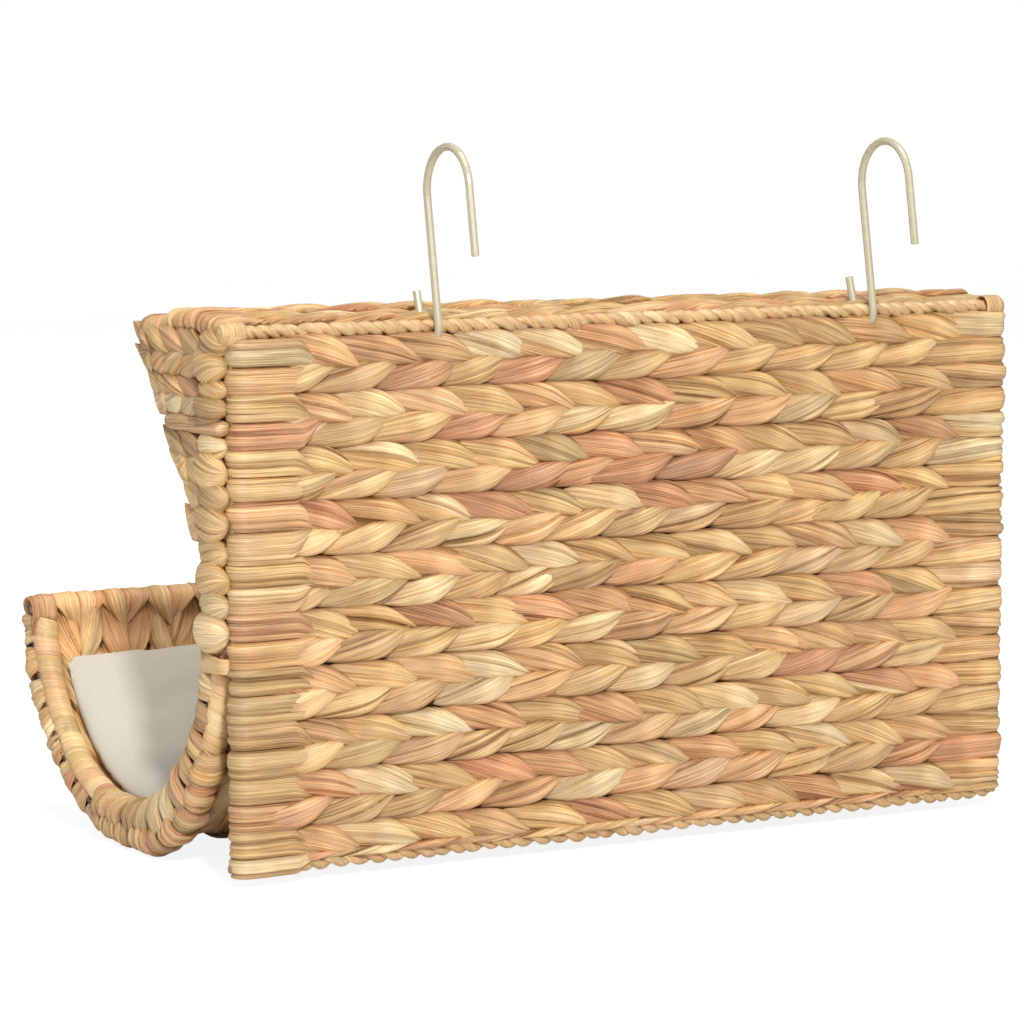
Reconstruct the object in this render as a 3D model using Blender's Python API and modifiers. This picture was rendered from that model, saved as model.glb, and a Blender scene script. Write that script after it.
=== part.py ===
"""Woven cat bed that hangs on a radiator: steel rods, woven sheets, a fabric pad and two wire hooks.

Metres, +Z up. X runs along the bed, the flat rear panel faces +Y and the open sling faces -Y. A section
through the bed is drawn in depth, measured forward from the rear panel's flat back, and height. The braids
of the rear panel and the shelf run along X, and those of the sling run round its U.
"""

import math

import bmesh
import bpy
from mathutils import Matrix, Vector

# Overall sizes
LENGTH = 0.460
DEPTH = 0.250
HEIGHT = 0.267

# Clearance between pieces that touch, how far a cutter runs past what it cuts, and the weld distance
GAP = 0.0003
OVERRUN = 0.004
WELD = 0.000003

# Woven sheets
PANEL_THICKNESS = 0.015
SLING_THICKNESS = 0.013
SHELF_THICKNESS = 0.012
GUSSET_THICKNESS = 0.013
PANEL_ROWS_SHARE = 9.5
LIP_HEIGHT = 0.112
LIP_RADIUS = 0.008
SHELF_NOSE_RADIUS = 0.0075
SHELF_DEPTH = 0.0975
SHELF_NOSE_HEIGHT = 0.2655
SHELF_CROWN = 0.005
CORNER_FOOT = 0.027
CORNER_WALL = 0.001
GUSSET_TOE = 0.004
GUSSET_HEAD = 0.012
GUSSET_GROOVE_DEPTH = 0.002

# Steel rods and the rope wound round the two rear ones
ROD_DIAMETER = 0.004
ROPE_DIAMETER = 0.008
END_ROD_INSET = 0.008
ROD_STOP = 0.0015

# Bands that tie the sling to the rear panel
BAND_THICKNESS = 0.0015
BAND_WIDTH = 0.008
BAND_HEIGHT = 0.103

# Pad
PAD_THICKNESS = 0.016
PAD_RIM_HEIGHT = 0.082
PAD_END_MARGIN = 0.020
PAD_DRAW_IN = 0.005

# Wire hooks
WIRE_DIAMETER = 0.004
HOOK_SPACING = 0.258
HOOK_OFFSET = -0.015
HOOK_LEAN = math.radians(10)
BIG_BEND_RADIUS = 0.0211
BIG_BEND_HEIGHT = 0.0634
OUTER_LEG_LENGTH = 0.035
SMALL_BEND_FLAT = 0.0038
INNER_LEG_LENGTH = 0.0195
INNER_LEG_SPLAY = math.radians(8)
SLOT_SIDE_ROOM = 0.001
SLOT_DEPTH_ROOM = 0.0045
NOTCH_ROOM = 0.0006

# How many of its radii a rolled edge takes to run out into its sheet
ROLL_RUNOUT_SHARE = 1.5

# Counts of steps and sides
SLING_LINE_STEPS = 28
SHELF_LINE_STEPS = 8
ROLL_STEPS = 7
SMALL_BEND_STEPS = 5
BIG_BEND_STEPS = 16
ROPE_SIDES = 16
THIN_TUBE_DETAIL = 2
STRAIGHT_TUBE_DETAIL = 3

# Middle line of the sling from the lip, round the U and up the backrest to the shelf's nose: shares of
# the depth and of the height that it covers
SLING_LINE_SHARES = (
    (1.000, 0.390),
    (0.975, 0.275),
    (0.865, 0.135),
    (0.680, 0.026),
    (0.465, 0.000),
    (0.265, 0.034),
    (0.110, 0.160),
    (0.022, 0.355),
    (0.000, 0.490),
    (0.055, 0.690),
    (0.180, 0.845),
    (0.308, 1.000),
)

# One braid across its width: place along the braid's width, and thickness. The sling's many braids have
# fewer places.
ROW_PROFILE_SHARES = ((0.0, 0.62), (0.07, 0.84), (0.22, 1.0), (0.5, 1.0), (0.78, 1.0), (0.93, 0.84))
SLING_ROW_PROFILE_SHARES = ((0.0, 0.7), (0.2, 1.0), (0.8, 1.0))

# Pad from its long edge inwards, one value for each of the first steps round the U: thickness
PAD_EDGE_SHARES = (0.35, 0.75)

# Pad along X: place between the middle and the end, and thickness
PAD_STATION_SHARES = (
    (-1.0, 0.30),
    (-0.985, 0.56),
    (-0.93, 0.82),
    (-0.78, 0.96),
    (-0.4, 1.0),
    (0.0, 1.0),
    (0.4, 1.0),
    (0.78, 0.96),
    (0.93, 0.82),
    (0.985, 0.56),
    (1.0, 0.30),
)

ROD_RADIUS = ROD_DIAMETER / 2
BORE_RADIUS = ROD_RADIUS + GAP
ROPE_RADIUS = ROPE_DIAMETER / 2
WIRE_RADIUS = WIRE_DIAMETER / 2
WEAVE_HALF = LENGTH / 2 - BAND_THICKNESS - GAP
END_ROD_X = WEAVE_HALF - END_ROD_INSET
ROD_HALF = WEAVE_HALF - ROD_STOP
SHELF_ROD_X = END_ROD_X + ROD_DIAMETER + GAP
BINDING_RADIUS = SLING_THICKNESS / 2
SHEET_X = END_ROD_X - BINDING_RADIUS - GAP
HEAD_X = END_ROD_X - BORE_RADIUS - CORNER_WALL
FOOT_X = WEAVE_HALF - CORNER_FOOT

REAR_ROD_DEPTH = PANEL_THICKNESS / 2
TOP_ROD_HEIGHT = HEIGHT - ROPE_RADIUS
BOTTOM_ROD_HEIGHT = ROPE_RADIUS
NOSE_ROD_DEPTH = SHELF_DEPTH - SHELF_NOSE_RADIUS
NOSE_ROD_HEIGHT = SHELF_NOSE_HEIGHT - SHELF_NOSE_RADIUS
LIP_ROD_DEPTH = DEPTH - LIP_RADIUS
LIP_ROD_HEIGHT = LIP_HEIGHT - LIP_RADIUS

LIP_UNDERSIDE = LIP_ROD_HEIGHT - LIP_RADIUS
NOSE_UNDERSIDE = NOSE_ROD_HEIGHT - SHELF_NOSE_RADIUS

SMALL_BEND_RADIUS = ROPE_RADIUS + WIRE_RADIUS + GAP
OUTER_LEG_REACH = SMALL_BEND_RADIUS + 2 * BIG_BEND_RADIUS + WIRE_RADIUS
OUTER_LEG_END = BIG_BEND_HEIGHT - OUTER_LEG_LENGTH
HOOK_REACH = OUTER_LEG_REACH * math.cos(HOOK_LEAN) - OUTER_LEG_END * math.sin(HOOK_LEAN) - REAR_ROD_DEPTH
BACK_Y = (DEPTH - HOOK_REACH) / 2

ROW_PITCH = (TOP_ROD_HEIGHT - BOTTOM_ROD_HEIGHT - ROPE_DIAMETER) / PANEL_ROWS_SHARE

PARTS = bpy.data.collections.new("woven_cat_bed")
CUTTERS = bpy.data.collections.new("cutters")

# Curve axes X, Y and Z laid on the section's Y, Z and X
SECTION_AXES = Matrix(((0, 0, 1, 0), (1, 0, 0, 0), (0, 1, 0, 0), (0, 0, 0, 1)))


def clear_scene():
    for obj in list(bpy.data.objects):
        bpy.data.objects.remove(obj, do_unlink=True)
    bpy.context.scene.collection.children.link(PARTS)
    bpy.context.scene.collection.children.link(CUTTERS)


def make_material(name, color, roughness, metallic=0.0):
    material = bpy.data.materials.new(name)
    material.use_nodes = True
    shader = material.node_tree.nodes["Principled BSDF"]
    shader.inputs["Base Color"].default_value = (*color, 1)
    shader.inputs["Roughness"].default_value = roughness
    shader.inputs["Metallic"].default_value = metallic
    return material


def section_point(place):
    """(Y, Z) in the world of a (depth, height) place."""
    return BACK_Y - place[0], place[1]


def world_point(x, place):
    return Vector((x, *section_point(place)))


def link_curve(name, data, collection):
    curve = bpy.data.objects.new(name, data)
    collection.objects.link(curve)
    return curve


def curve_to_mesh(curve):
    """Replaces a curve object by a mesh object of the same name and place, with its caps welded on."""
    bpy.context.view_layer.update()
    graph = bpy.context.evaluated_depsgraph_get()
    mesh = bpy.data.meshes.new_from_object(curve.evaluated_get(graph))
    form = bmesh.new()
    form.from_mesh(mesh)
    bmesh.ops.remove_doubles(form, verts=form.verts, dist=WELD)
    bmesh.ops.recalc_face_normals(form, faces=form.faces)
    form.to_mesh(mesh)
    form.free()
    name = curve.name
    place = curve.matrix_world.copy()
    collection = curve.users_collection[0]
    bpy.data.objects.remove(curve, do_unlink=True)
    solid = bpy.data.objects.new(name, mesh)
    collection.objects.link(solid)
    solid.matrix_world = place
    return solid


def extrude_section(name, outlines, x_low, x_high, collection):
    """Closed outlines, given as (depth, height) places, drawn out along X into a mesh solid."""
    data = bpy.data.curves.new(name, "CURVE")
    data.dimensions = "2D"
    data.fill_mode = "BOTH"
    data.extrude = (x_high - x_low) / 2
    for outline in outlines:
        spline = data.splines.new("POLY")
        spline.points.add(len(outline) - 1)
        for point, place in zip(spline.points, outline):
            point.co = (*section_point(place), 0, 1)
        spline.use_cyclic_u = True
    curve = link_curve(name, data, collection)
    curve.matrix_world = Matrix.Translation(((x_low + x_high) / 2, 0, 0)) @ SECTION_AXES
    return curve_to_mesh(curve)


def wire(name, points, radius, resolution, collection):
    """A round wire with flat ends through the given points."""
    data = bpy.data.curves.new(name, "CURVE")
    data.dimensions = "3D"
    data.bevel_depth = radius
    data.bevel_resolution = resolution
    data.use_fill_caps = True
    spline = data.splines.new("POLY")
    spline.points.add(len(points) - 1)
    for point, place in zip(spline.points, points):
        point.co = (*place, 1)
    return link_curve(name, data, collection)


def box(name, low, high, collection):
    """A box from a low to a high corner, as a mesh solid."""
    size = Vector(high) - Vector(low)
    form = bmesh.new()
    bmesh.ops.create_cube(form, size=1)
    bmesh.ops.scale(form, vec=size, verts=form.verts)
    mesh = bpy.data.meshes.new(name)
    form.to_mesh(mesh)
    form.free()
    solid = bpy.data.objects.new(name, mesh)
    solid.location = (Vector(low) + Vector(high)) / 2
    collection.objects.link(solid)
    return solid


def section_box(name, x_low, x_high, depths, heights):
    """A cutter between two depths and two heights."""
    near = BACK_Y - max(depths)
    far = BACK_Y - min(depths)
    return box(name, (x_low, near, min(heights)), (x_high, far, max(heights)), CUTTERS)


def cut(solid, cutter):
    if cutter.type != "MESH":
        cutter = curve_to_mesh(cutter)
    cutter.hide_render = True
    cutter.display_type = "WIRE"
    modifier = solid.modifiers.new(f"cut {cutter.name}", "BOOLEAN")
    modifier.operation = "DIFFERENCE"
    modifier.object = cutter
    modifier.solver = "EXACT"


def finish(obj, material, smooth=False):
    obj.data.materials.clear()
    obj.data.materials.append(material)
    if smooth and obj.type == "MESH":
        obj.data.shade_smooth()
        obj.data.set_sharp_from_angle(angle=math.radians(35))
    return obj


def side_name(name, side):
    return f"{name}_left" if side > 0 else f"{name}_right"


def split(low, high, steps):
    """Evenly spaced values from low to high."""
    return [low + (high - low) * step / steps for step in range(steps + 1)]


def loft(name, rings):
    """A solid through flat rings of world points, whose two ends are closed by strips of faces.

    Each point of a ring lies opposite the one that is as far from the ring's other end.
    """
    form = bmesh.new()
    loops = [[form.verts.new(place) for place in ring] for ring in rings]
    for one, other in zip(loops, loops[1:]):
        for index in range(len(one)):
            after = (index + 1) % len(one)
            form.faces.new((one[index], one[after], other[after], other[index]))
    for ring in (loops[0], loops[-1]):
        for index in range(len(ring) // 2 - 1):
            form.faces.new((ring[index], ring[index + 1], ring[-index - 2], ring[-index - 1]))
    bmesh.ops.triangulate(form, faces=form.faces)
    bmesh.ops.recalc_face_normals(form, faces=form.faces)
    mesh = bpy.data.meshes.new(name)
    form.to_mesh(mesh)
    form.free()
    solid = bpy.data.objects.new(name, mesh)
    PARTS.objects.link(solid)
    return solid


class Line:
    """A smooth line in the section, kept as straight steps that are shorter where it bends.

    Every piece that follows the line has its corners at the same marks, so that faces seat on each other.
    """

    def __init__(self, name, places, steps):
        data = bpy.data.curves.new(name, "CURVE")
        data.dimensions = "3D"
        data.resolution_u = steps
        spline = data.splines.new("BEZIER")
        spline.bezier_points.add(len(places) - 1)
        for point, place in zip(spline.bezier_points, places):
            point.co = (*place, 0)
            point.handle_left_type = "AUTO"
            point.handle_right_type = "AUTO"
        curve = link_curve(name, data, CUTTERS)
        bpy.context.view_layer.update()
        graph = bpy.context.evaluated_depsgraph_get()
        mesh = bpy.data.meshes.new_from_object(curve.evaluated_get(graph))
        fine = [Vector(vertex.co[:2]) for vertex in mesh.vertices]
        bpy.data.objects.remove(curve, do_unlink=True)
        bpy.data.meshes.remove(mesh)
        self.points = self.thin_out(fine, steps)
        self.marks = [0.0]
        for one, other in zip(self.points, self.points[1:]):
            self.marks.append(self.marks[-1] + (other - one).length)
        self.length = self.marks[-1]

    @staticmethod
    def thin_out(fine, steps):
        """Points of the fine line at even shares of its length and of its turning, added together."""
        runs = [other - one for one, other in zip(fine, fine[1:])]
        turns = [0.0] + [abs(one.angle_signed(other)) for one, other in zip(runs, runs[1:])]
        whole_run = sum(run.length for run in runs)
        whole_turn = sum(turns)
        effort = [0.0]
        for run, turn in zip(runs, turns):
            bend = turn / whole_turn if whole_turn > 0 else 0
            effort.append(effort[-1] + run.length / whole_run + bend)
        kept = []
        for wanted in split(0, effort[-1], steps):
            kept.append(min(range(len(fine)), key=lambda index: abs(effort[index] - wanted)))
        return [fine[index] for index in sorted(set(kept))]

    def place(self, distance):
        distance = min(max(distance, 0.0), self.length)
        index = 1
        while self.marks[index] < distance and index < len(self.marks) - 1:
            index += 1
        start = self.marks[index - 1]
        share = (distance - start) / (self.marks[index] - start)
        return self.points[index - 1].lerp(self.points[index], share)

    def tangent(self, distance):
        reach = self.length / 400
        return (self.place(distance + reach) - self.place(distance - reach)).normalized()

    def offset(self, distance, side):
        """A place beside the line, to the left of its direction where side is above 0."""
        tangent = self.tangent(distance)
        return self.place(distance) + side * Vector((-tangent.y, tangent.x))

    def stretch(self, start, end):
        """The distances from start to end, with every mark of the line between them."""
        return [start, *[mark for mark in self.marks if start + GAP < mark < end - GAP], end]

    def where(self, test):
        """The first distance along the line that passes the test."""
        before = 0.0
        for distance in split(0, self.length, 400):
            if test(distance):
                break
            before = distance
        for _ in range(12):
            middle = (before + distance) / 2
            if test(middle):
                distance = middle
            else:
                before = middle
        return distance


def cap(line, distance, radius, turn):
    """The half circle that closes a rolled edge, from the line's left side to its right or back."""
    tangent = line.tangent(distance)
    normal = Vector((-tangent.y, tangent.x))
    places = []
    for angle in split(0, math.pi, ROLL_STEPS):
        across = math.cos(angle) * turn * radius
        along = math.sin(angle) * turn * radius
        places.append(line.place(distance) + across * normal + along * tangent)
    return places


def row_stations(length, thickness, rows):
    """(distance, half thickness) along a sheet of braid rows side by side."""
    pitch = length / rows
    stations = []
    for row in range(math.ceil(rows)):
        for place_share, thickness_share in ROW_PROFILE_SHARES:
            distance = (row + place_share) * pitch
            if distance < length - GAP:
                stations.append((distance, thickness_share * thickness / 2))
    stations.append((length, stations[-1][1] if rows % 1 else stations[0][1]))
    return stations


def sheet_outline(line, stations):
    """A sheet's outline round its middle line."""
    outline = [line.offset(distance, half) for distance, half in stations]
    return outline + [line.offset(distance, -half) for distance, half in reversed(stations)]


def sling_outline(sling, thickness_share, room):
    """The sling's outline at one place along X, with a rolled edge at its lip and at its nose."""
    half = thickness_share * SLING_THICKNESS / 2 + room
    first = LIP_RADIUS * ROLL_RUNOUT_SHARE
    last = sling.length - SHELF_NOSE_RADIUS * ROLL_RUNOUT_SHARE
    distances = sling.stretch(first, last)
    outline = [sling.offset(distance, half) for distance in distances]
    outline += cap(sling, sling.length, thickness_share * SHELF_NOSE_RADIUS + room, 1)
    outline += [sling.offset(distance, -half) for distance in reversed(distances)]
    lip = cap(sling, 0, thickness_share * LIP_RADIUS + room, -1)
    half_lip = len(lip) // 2
    return lip[half_lip:] + outline + lip[:half_lip]


def sling_line():
    back = PANEL_THICKNESS + GAP + SLING_THICKNESS / 2
    floor = SLING_THICKNESS / 2
    reach = LIP_ROD_DEPTH - back
    rise = NOSE_ROD_HEIGHT - floor
    places = [(back + depth * reach, floor + height * rise) for depth, height in SLING_LINE_SHARES]
    places[0] = (LIP_ROD_DEPTH, LIP_ROD_HEIGHT)
    places[-1] = (NOSE_ROD_DEPTH, NOSE_ROD_HEIGHT)
    return Line("sling line", places, SLING_LINE_STEPS)


def shelf_line():
    middle_depth = (NOSE_ROD_DEPTH + REAR_ROD_DEPTH) / 2
    middle_height = (NOSE_ROD_HEIGHT + TOP_ROD_HEIGHT) / 2 + SHELF_CROWN
    front = (NOSE_ROD_DEPTH, NOSE_ROD_HEIGHT)
    rear = (REAR_ROD_DEPTH, TOP_ROD_HEIGHT)
    return Line("shelf line", [front, (middle_depth, middle_height), rear], SHELF_LINE_STEPS)


def rod_along_x(name, half, depth, height, radius, collection):
    points = [world_point(-half, (depth, height)), world_point(half, (depth, height))]
    return wire(name, points, radius, STRAIGHT_TUBE_DETAIL, collection)


def upright(name, x, depth, low, high, radius, collection):
    points = [world_point(x, (depth, low)), world_point(x, (depth, high))]
    return wire(name, points, radius, STRAIGHT_TUBE_DETAIL, collection)


def rod_along_line(name, line, x, start, end, radius, collection, detail=THIN_TUBE_DETAIL):
    points = [world_point(x, line.place(distance)) for distance in line.stretch(start, end)]
    return wire(name, points, radius, detail, collection)


def hook_x(side):
    return HOOK_OFFSET + side * HOOK_SPACING / 2


def arc(center, radius, start, end, steps):
    """Places on an arc, angles in degrees from +Y towards +Z."""
    places = []
    for degrees in split(start, end, steps):
        angle = math.radians(degrees)
        y = center[0] + radius * math.cos(angle)
        z = center[1] + radius * math.sin(angle)
        places.append(Vector((0, y, z)))
    return places


def make_hook(side, material):
    """One wire: inner leg, small bend under the wound rod, stem, big bend over the radiator, outer leg."""
    foot = (-SMALL_BEND_FLAT, 0)
    leg_direction = Vector((0, -math.sin(INNER_LEG_SPLAY), math.cos(INNER_LEG_SPLAY)))
    small_front = arc(foot, SMALL_BEND_RADIUS, 180, 270, SMALL_BEND_STEPS)
    small_back = arc((0, 0), SMALL_BEND_RADIUS, 270, 360, SMALL_BEND_STEPS)
    inner_end = small_front[0] + INNER_LEG_LENGTH * leg_direction
    big_center = (SMALL_BEND_RADIUS + BIG_BEND_RADIUS, BIG_BEND_HEIGHT)
    big = arc(big_center, BIG_BEND_RADIUS, 180, 0, BIG_BEND_STEPS)
    outer_end = big[-1] - Vector((0, 0, OUTER_LEG_LENGTH))
    points = [inner_end, *small_front, *small_back, *big, outer_end]
    hook = wire(side_name("hook", side), points, WIRE_RADIUS, THIN_TUBE_DETAIL, PARTS)
    hook.location = world_point(hook_x(side), (REAR_ROD_DEPTH, TOP_ROD_HEIGHT))
    hook.rotation_euler = (HOOK_LEAN, 0, 0)
    return finish(hook, material)


def make_rods(sling, shelf, material):
    """Four straight rods along X, and at each end a post, the S-bent side rod and the short shelf rod."""
    for name, depth, height in (
        ("top_rear_rod", REAR_ROD_DEPTH, TOP_ROD_HEIGHT),
        ("bottom_rear_rod", REAR_ROD_DEPTH, BOTTOM_ROD_HEIGHT),
        ("top_front_rod", NOSE_ROD_DEPTH, NOSE_ROD_HEIGHT),
        ("lip_rod", LIP_ROD_DEPTH, LIP_ROD_HEIGHT),
    ):
        finish(rod_along_x(name, ROD_HALF, depth, height, ROD_RADIUS, PARTS), material)
    weld = ROD_RADIUS + GAP
    post_low = BOTTOM_ROD_HEIGHT + weld
    post_high = TOP_ROD_HEIGHT - weld
    for side in (1, -1):
        x = side * END_ROD_X
        post = upright(side_name("rear_post", side), x, REAR_ROD_DEPTH, post_low, post_high, ROD_RADIUS, PARTS)
        finish(post, material)
        name = side_name("side_rod", side)
        finish(rod_along_line(name, sling, x, weld, sling.length - weld, ROD_RADIUS, PARTS), material)
        name = side_name("shelf_rod", side)
        x = side * SHELF_ROD_X
        finish(rod_along_line(name, shelf, x, weld, shelf.length - weld, ROD_RADIUS, PARTS), material)


def bore_along_x(name, depth, height):
    return rod_along_x(name, WEAVE_HALF + OVERRUN, depth, height, BORE_RADIUS, CUTTERS)


def bore_along_line(name, line, x):
    """A bore for a rod that follows the line and ends inside the bores of the rods across it."""
    return rod_along_line(name, line, x, ROD_RADIUS, line.length - ROD_RADIUS, BORE_RADIUS, CUTTERS)


def cut_hook_slots(solid, depths, heights, side_room):
    for side in (1, -1):
        x = hook_x(side)
        room = WIRE_RADIUS + side_room
        name = f"{solid.name} {side_name('hook slot', side)}"
        cut(solid, section_box(name, x - room, x + room, depths, heights))


def cut_band_slots(solid, depths):
    """The slits between braid strands that the tying bands pass through."""
    for side in (1, -1):
        edges = sorted((side * (SHEET_X + GAP), side * (SHEET_X - BAND_THICKNESS - GAP)))
        low = BAND_HEIGHT - BAND_WIDTH / 2 - GAP
        high = BAND_HEIGHT + BAND_WIDTH / 2 + GAP
        name = f"{solid.name} {side_name('band slit', side)}"
        cut(solid, section_box(name, edges[0], edges[1], depths, (low, high)))


def make_rear_panel(shelf, material):
    """Braid rows between the two wound ropes.

    The corners at the two top ends and at the lower left end cover the joints of the rods.
    """
    top = TOP_ROD_HEIGHT - ROPE_RADIUS - GAP
    bottom = BOTTOM_ROD_HEIGHT + ROPE_RADIUS + GAP
    middle = PANEL_THICKNESS / 2
    line = Line("panel line", [(middle, top), (middle, bottom)], 1)
    stations = row_stations(line.length, PANEL_THICKNESS, PANEL_ROWS_SHARE)
    rows = sheet_outline(line, stations)
    head = [(0, HEIGHT), (PANEL_THICKNESS, HEIGHT)]
    foot = [(PANEL_THICKNESS, 0), (0, 0)]
    facing = [place for place in rows if place[0] > middle]
    backing = [place for place in rows if place[0] <= middle]
    if facing[0][1] < facing[-1][1]:
        facing.reverse()
    if backing[0][1] > backing[-1][1]:
        backing.reverse()
    outline = head + facing + foot + backing
    panel = extrude_section("rear_panel", [outline], -WEAVE_HALF, WEAVE_HALF, PARTS)
    through = (-OVERRUN, PANEL_THICKNESS + OVERRUN)
    cut(panel, section_box("panel rope seat top", -HEAD_X, HEAD_X, through, (top, HEIGHT + OVERRUN)))
    cut(panel, section_box("panel rope seat bottom", -HEAD_X, FOOT_X, through, (-OVERRUN, bottom)))
    cut(panel, bore_along_x("panel bore top", REAR_ROD_DEPTH, TOP_ROD_HEIGHT))
    cut(panel, bore_along_x("panel bore bottom", REAR_ROD_DEPTH, BOTTOM_ROD_HEIGHT))
    for side in (1, -1):
        x = side * END_ROD_X
        bore = upright(f"panel bore {side}", x, REAR_ROD_DEPTH, -OVERRUN, HEIGHT + OVERRUN, BORE_RADIUS, CUTTERS)
        cut(panel, bore)
        x = side * SHELF_ROD_X
        cut(panel, bore_along_line(f"panel shelf bore {side}", shelf, x))
    swing = SMALL_BEND_RADIUS + SMALL_BEND_FLAT + WIRE_RADIUS + NOTCH_ROOM
    cut_hook_slots(panel, through, (TOP_ROD_HEIGHT - swing, HEIGHT), SLOT_SIDE_ROOM)
    cut_band_slots(panel, through)
    return finish(panel, material)


def make_sling(sling, shelf, material):
    """Braids side by side along X, each running from the lip round the U and up the backrest."""
    braids = round(2 * WEAVE_HALF / ROW_PITCH)
    pitch = 2 * WEAVE_HALF / braids
    stations = []
    for braid in range(braids):
        for place_share, thickness_share in SLING_ROW_PROFILE_SHARES:
            stations.append((-WEAVE_HALF + (braid + place_share) * pitch, thickness_share))
    stations.append((WEAVE_HALF, stations[0][1]))
    rings = []
    for x, thickness_share in stations:
        rings.append([world_point(x, place) for place in sling_outline(sling, thickness_share, 0)])
    body = loft("sling", rings)
    cut(body, bore_along_x("sling bore lip", LIP_ROD_DEPTH, LIP_ROD_HEIGHT))
    cut(body, bore_along_x("sling bore nose", NOSE_ROD_DEPTH, NOSE_ROD_HEIGHT))
    margin = [
        (-OVERRUN, -OVERRUN),
        (DEPTH + OVERRUN, -OVERRUN),
        (DEPTH + OVERRUN, LIP_UNDERSIDE),
        (DEPTH / 2, LIP_UNDERSIDE),
        (DEPTH / 2, NOSE_UNDERSIDE),
        (-OVERRUN, NOSE_UNDERSIDE),
    ]
    for side in (1, -1):
        edges = sorted((side * SHEET_X, side * (WEAVE_HALF + OVERRUN)))
        cut(body, extrude_section(f"sling margin {side}", [margin], *edges, CUTTERS))
        cut(body, bore_along_line(f"sling bore {side}", sling, side * END_ROD_X))
        cut(body, bore_along_line(f"sling shelf bore {side}", shelf, side * SHELF_ROD_X))
    cut_band_slots(body, (PANEL_THICKNESS - OVERRUN, PANEL_THICKNESS + 2 * SLING_THICKNESS + OVERRUN))
    return finish(body, material)


def binding_ends(sling):
    """Where the winding round the side rod starts under the lip's roll and ends under the nose's."""
    bottom = min(sling.marks, key=lambda distance: sling.place(distance).y)

    def top(distance):
        return max(sling.offset(distance, BINDING_RADIUS).y, sling.offset(distance, -BINDING_RADIUS).y)

    start = sling.where(lambda distance: top(distance) <= LIP_UNDERSIDE - GAP)
    end = sling.where(lambda distance: distance > bottom and top(distance) >= NOSE_UNDERSIDE - GAP)
    return start, end


def make_binding(side, sling, material):
    """The strand wound closely round an S-bent side rod, which makes the sling's thick round end rim."""
    start, end = binding_ends(sling)
    x = side * END_ROD_X
    name = side_name("side_binding", side)
    binding = rod_along_line(name, sling, x, start, end, BINDING_RADIUS, PARTS, STRAIGHT_TUBE_DETAIL)
    solid = curve_to_mesh(binding)
    cut(solid, bore_along_line(f"{name} bore", sling, x))
    return finish(solid, material, smooth=True)


def sling_envelope(name, sling):
    """A cutter that seats a neighbour against the sling with the named clearance."""
    outline = sling_outline(sling, 1, GAP)
    return extrude_section(name, [outline], -WEAVE_HALF - OVERRUN, WEAVE_HALF + OVERRUN, CUTTERS)


def make_shelf(sling, shelf, material):
    """Braid rows along X from the nose of the sling back to the wound rope."""
    rear_edge = PANEL_THICKNESS + GAP
    end = shelf.where(lambda distance: shelf.place(distance).x <= PANEL_THICKNESS)
    line = Line("shelf middle", [shelf.place(distance) for distance in split(0, end, 4)], SHELF_LINE_STEPS)
    rows = round(line.length / ROW_PITCH)
    outline = sheet_outline(line, row_stations(line.length, SHELF_THICKNESS, rows))
    body = extrude_section("top_shelf", [outline], -WEAVE_HALF, WEAVE_HALF, PARTS)
    cut(body, sling_envelope("shelf seat", sling))
    above = HEIGHT + SHELF_THICKNESS
    nose = [(NOSE_ROD_DEPTH, 0), (DEPTH, 0), (DEPTH, above), (NOSE_ROD_DEPTH, above)]
    cut(body, extrude_section("shelf nose trim", [nose], -LENGTH, LENGTH, CUTTERS))
    rear = [(-DEPTH, 0), (rear_edge, 0), (rear_edge, above), (-DEPTH, above)]
    cut(body, extrude_section("shelf rear trim", [rear], -LENGTH, LENGTH, CUTTERS))
    for side in (1, -1):
        cut(body, bore_along_line(f"shelf bore {side}", shelf, side * SHELF_ROD_X))
    inner_leg = SMALL_BEND_RADIUS + SMALL_BEND_FLAT + WIRE_RADIUS
    slot_end = REAR_ROD_DEPTH + inner_leg + SLOT_DEPTH_ROOM
    cut_hook_slots(body, (0, slot_end), (TOP_ROD_HEIGHT - 2 * SHELF_THICKNESS, above), SLOT_SIDE_ROOM)
    return finish(body, material)


def make_gusset(side, sling, shelf, material):
    """The woven wedge between the backrest, the shelf and the rear panel at one end of the bed.

    Its short braids lie level, so a groove parts them at each row of the rear panel.
    """
    back = PANEL_THICKNESS + GAP
    clear = BINDING_RADIUS + GAP
    lowest = min(sling.marks, key=lambda distance: sling.place(distance).x)
    toe = sling.where(lambda distance: distance > lowest and sling.offset(distance, clear).x > back + GUSSET_TOE)
    head = sling.length - GUSSET_HEAD
    front = [sling.offset(distance, clear) for distance in sling.stretch(toe, head)]
    underside = SHELF_THICKNESS / 2 + GAP
    crest = shelf.where(lambda distance: shelf.offset(distance, underside).x <= front[-1].x)
    rear = shelf.where(lambda distance: shelf.offset(distance, underside).x <= back)
    top = [shelf.offset(distance, underside) for distance in shelf.stretch(crest, rear)]
    outline = [(back, front[0].y), *front, *top[1:-1], (back, top[-1].y)]
    outer = side * (WEAVE_HALF - GAP)
    inner = side * (WEAVE_HALF - GAP - GUSSET_THICKNESS)
    name = side_name("gusset", side)
    gusset = extrude_section(name, [outline], min(inner, outer), max(inner, outer), PARTS)
    low = front[0].y + GUSSET_THICKNESS
    high = top[-1].y - GUSSET_THICKNESS
    reach = math.sqrt(2) * GUSSET_GROOVE_DEPTH
    height = TOP_ROD_HEIGHT - ROPE_RADIUS - ROW_PITCH
    while height > low:
        if height < high:
            groove = box(f"{name} groove", (-reach / 2, -DEPTH, -reach / 2), (reach / 2, DEPTH, reach / 2), CUTTERS)
            groove.location = (outer, BACK_Y, height)
            groove.rotation_euler = (0, math.radians(45), 0)
            cut(gusset, groove)
        height -= ROW_PITCH
    return finish(gusset, material)


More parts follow.
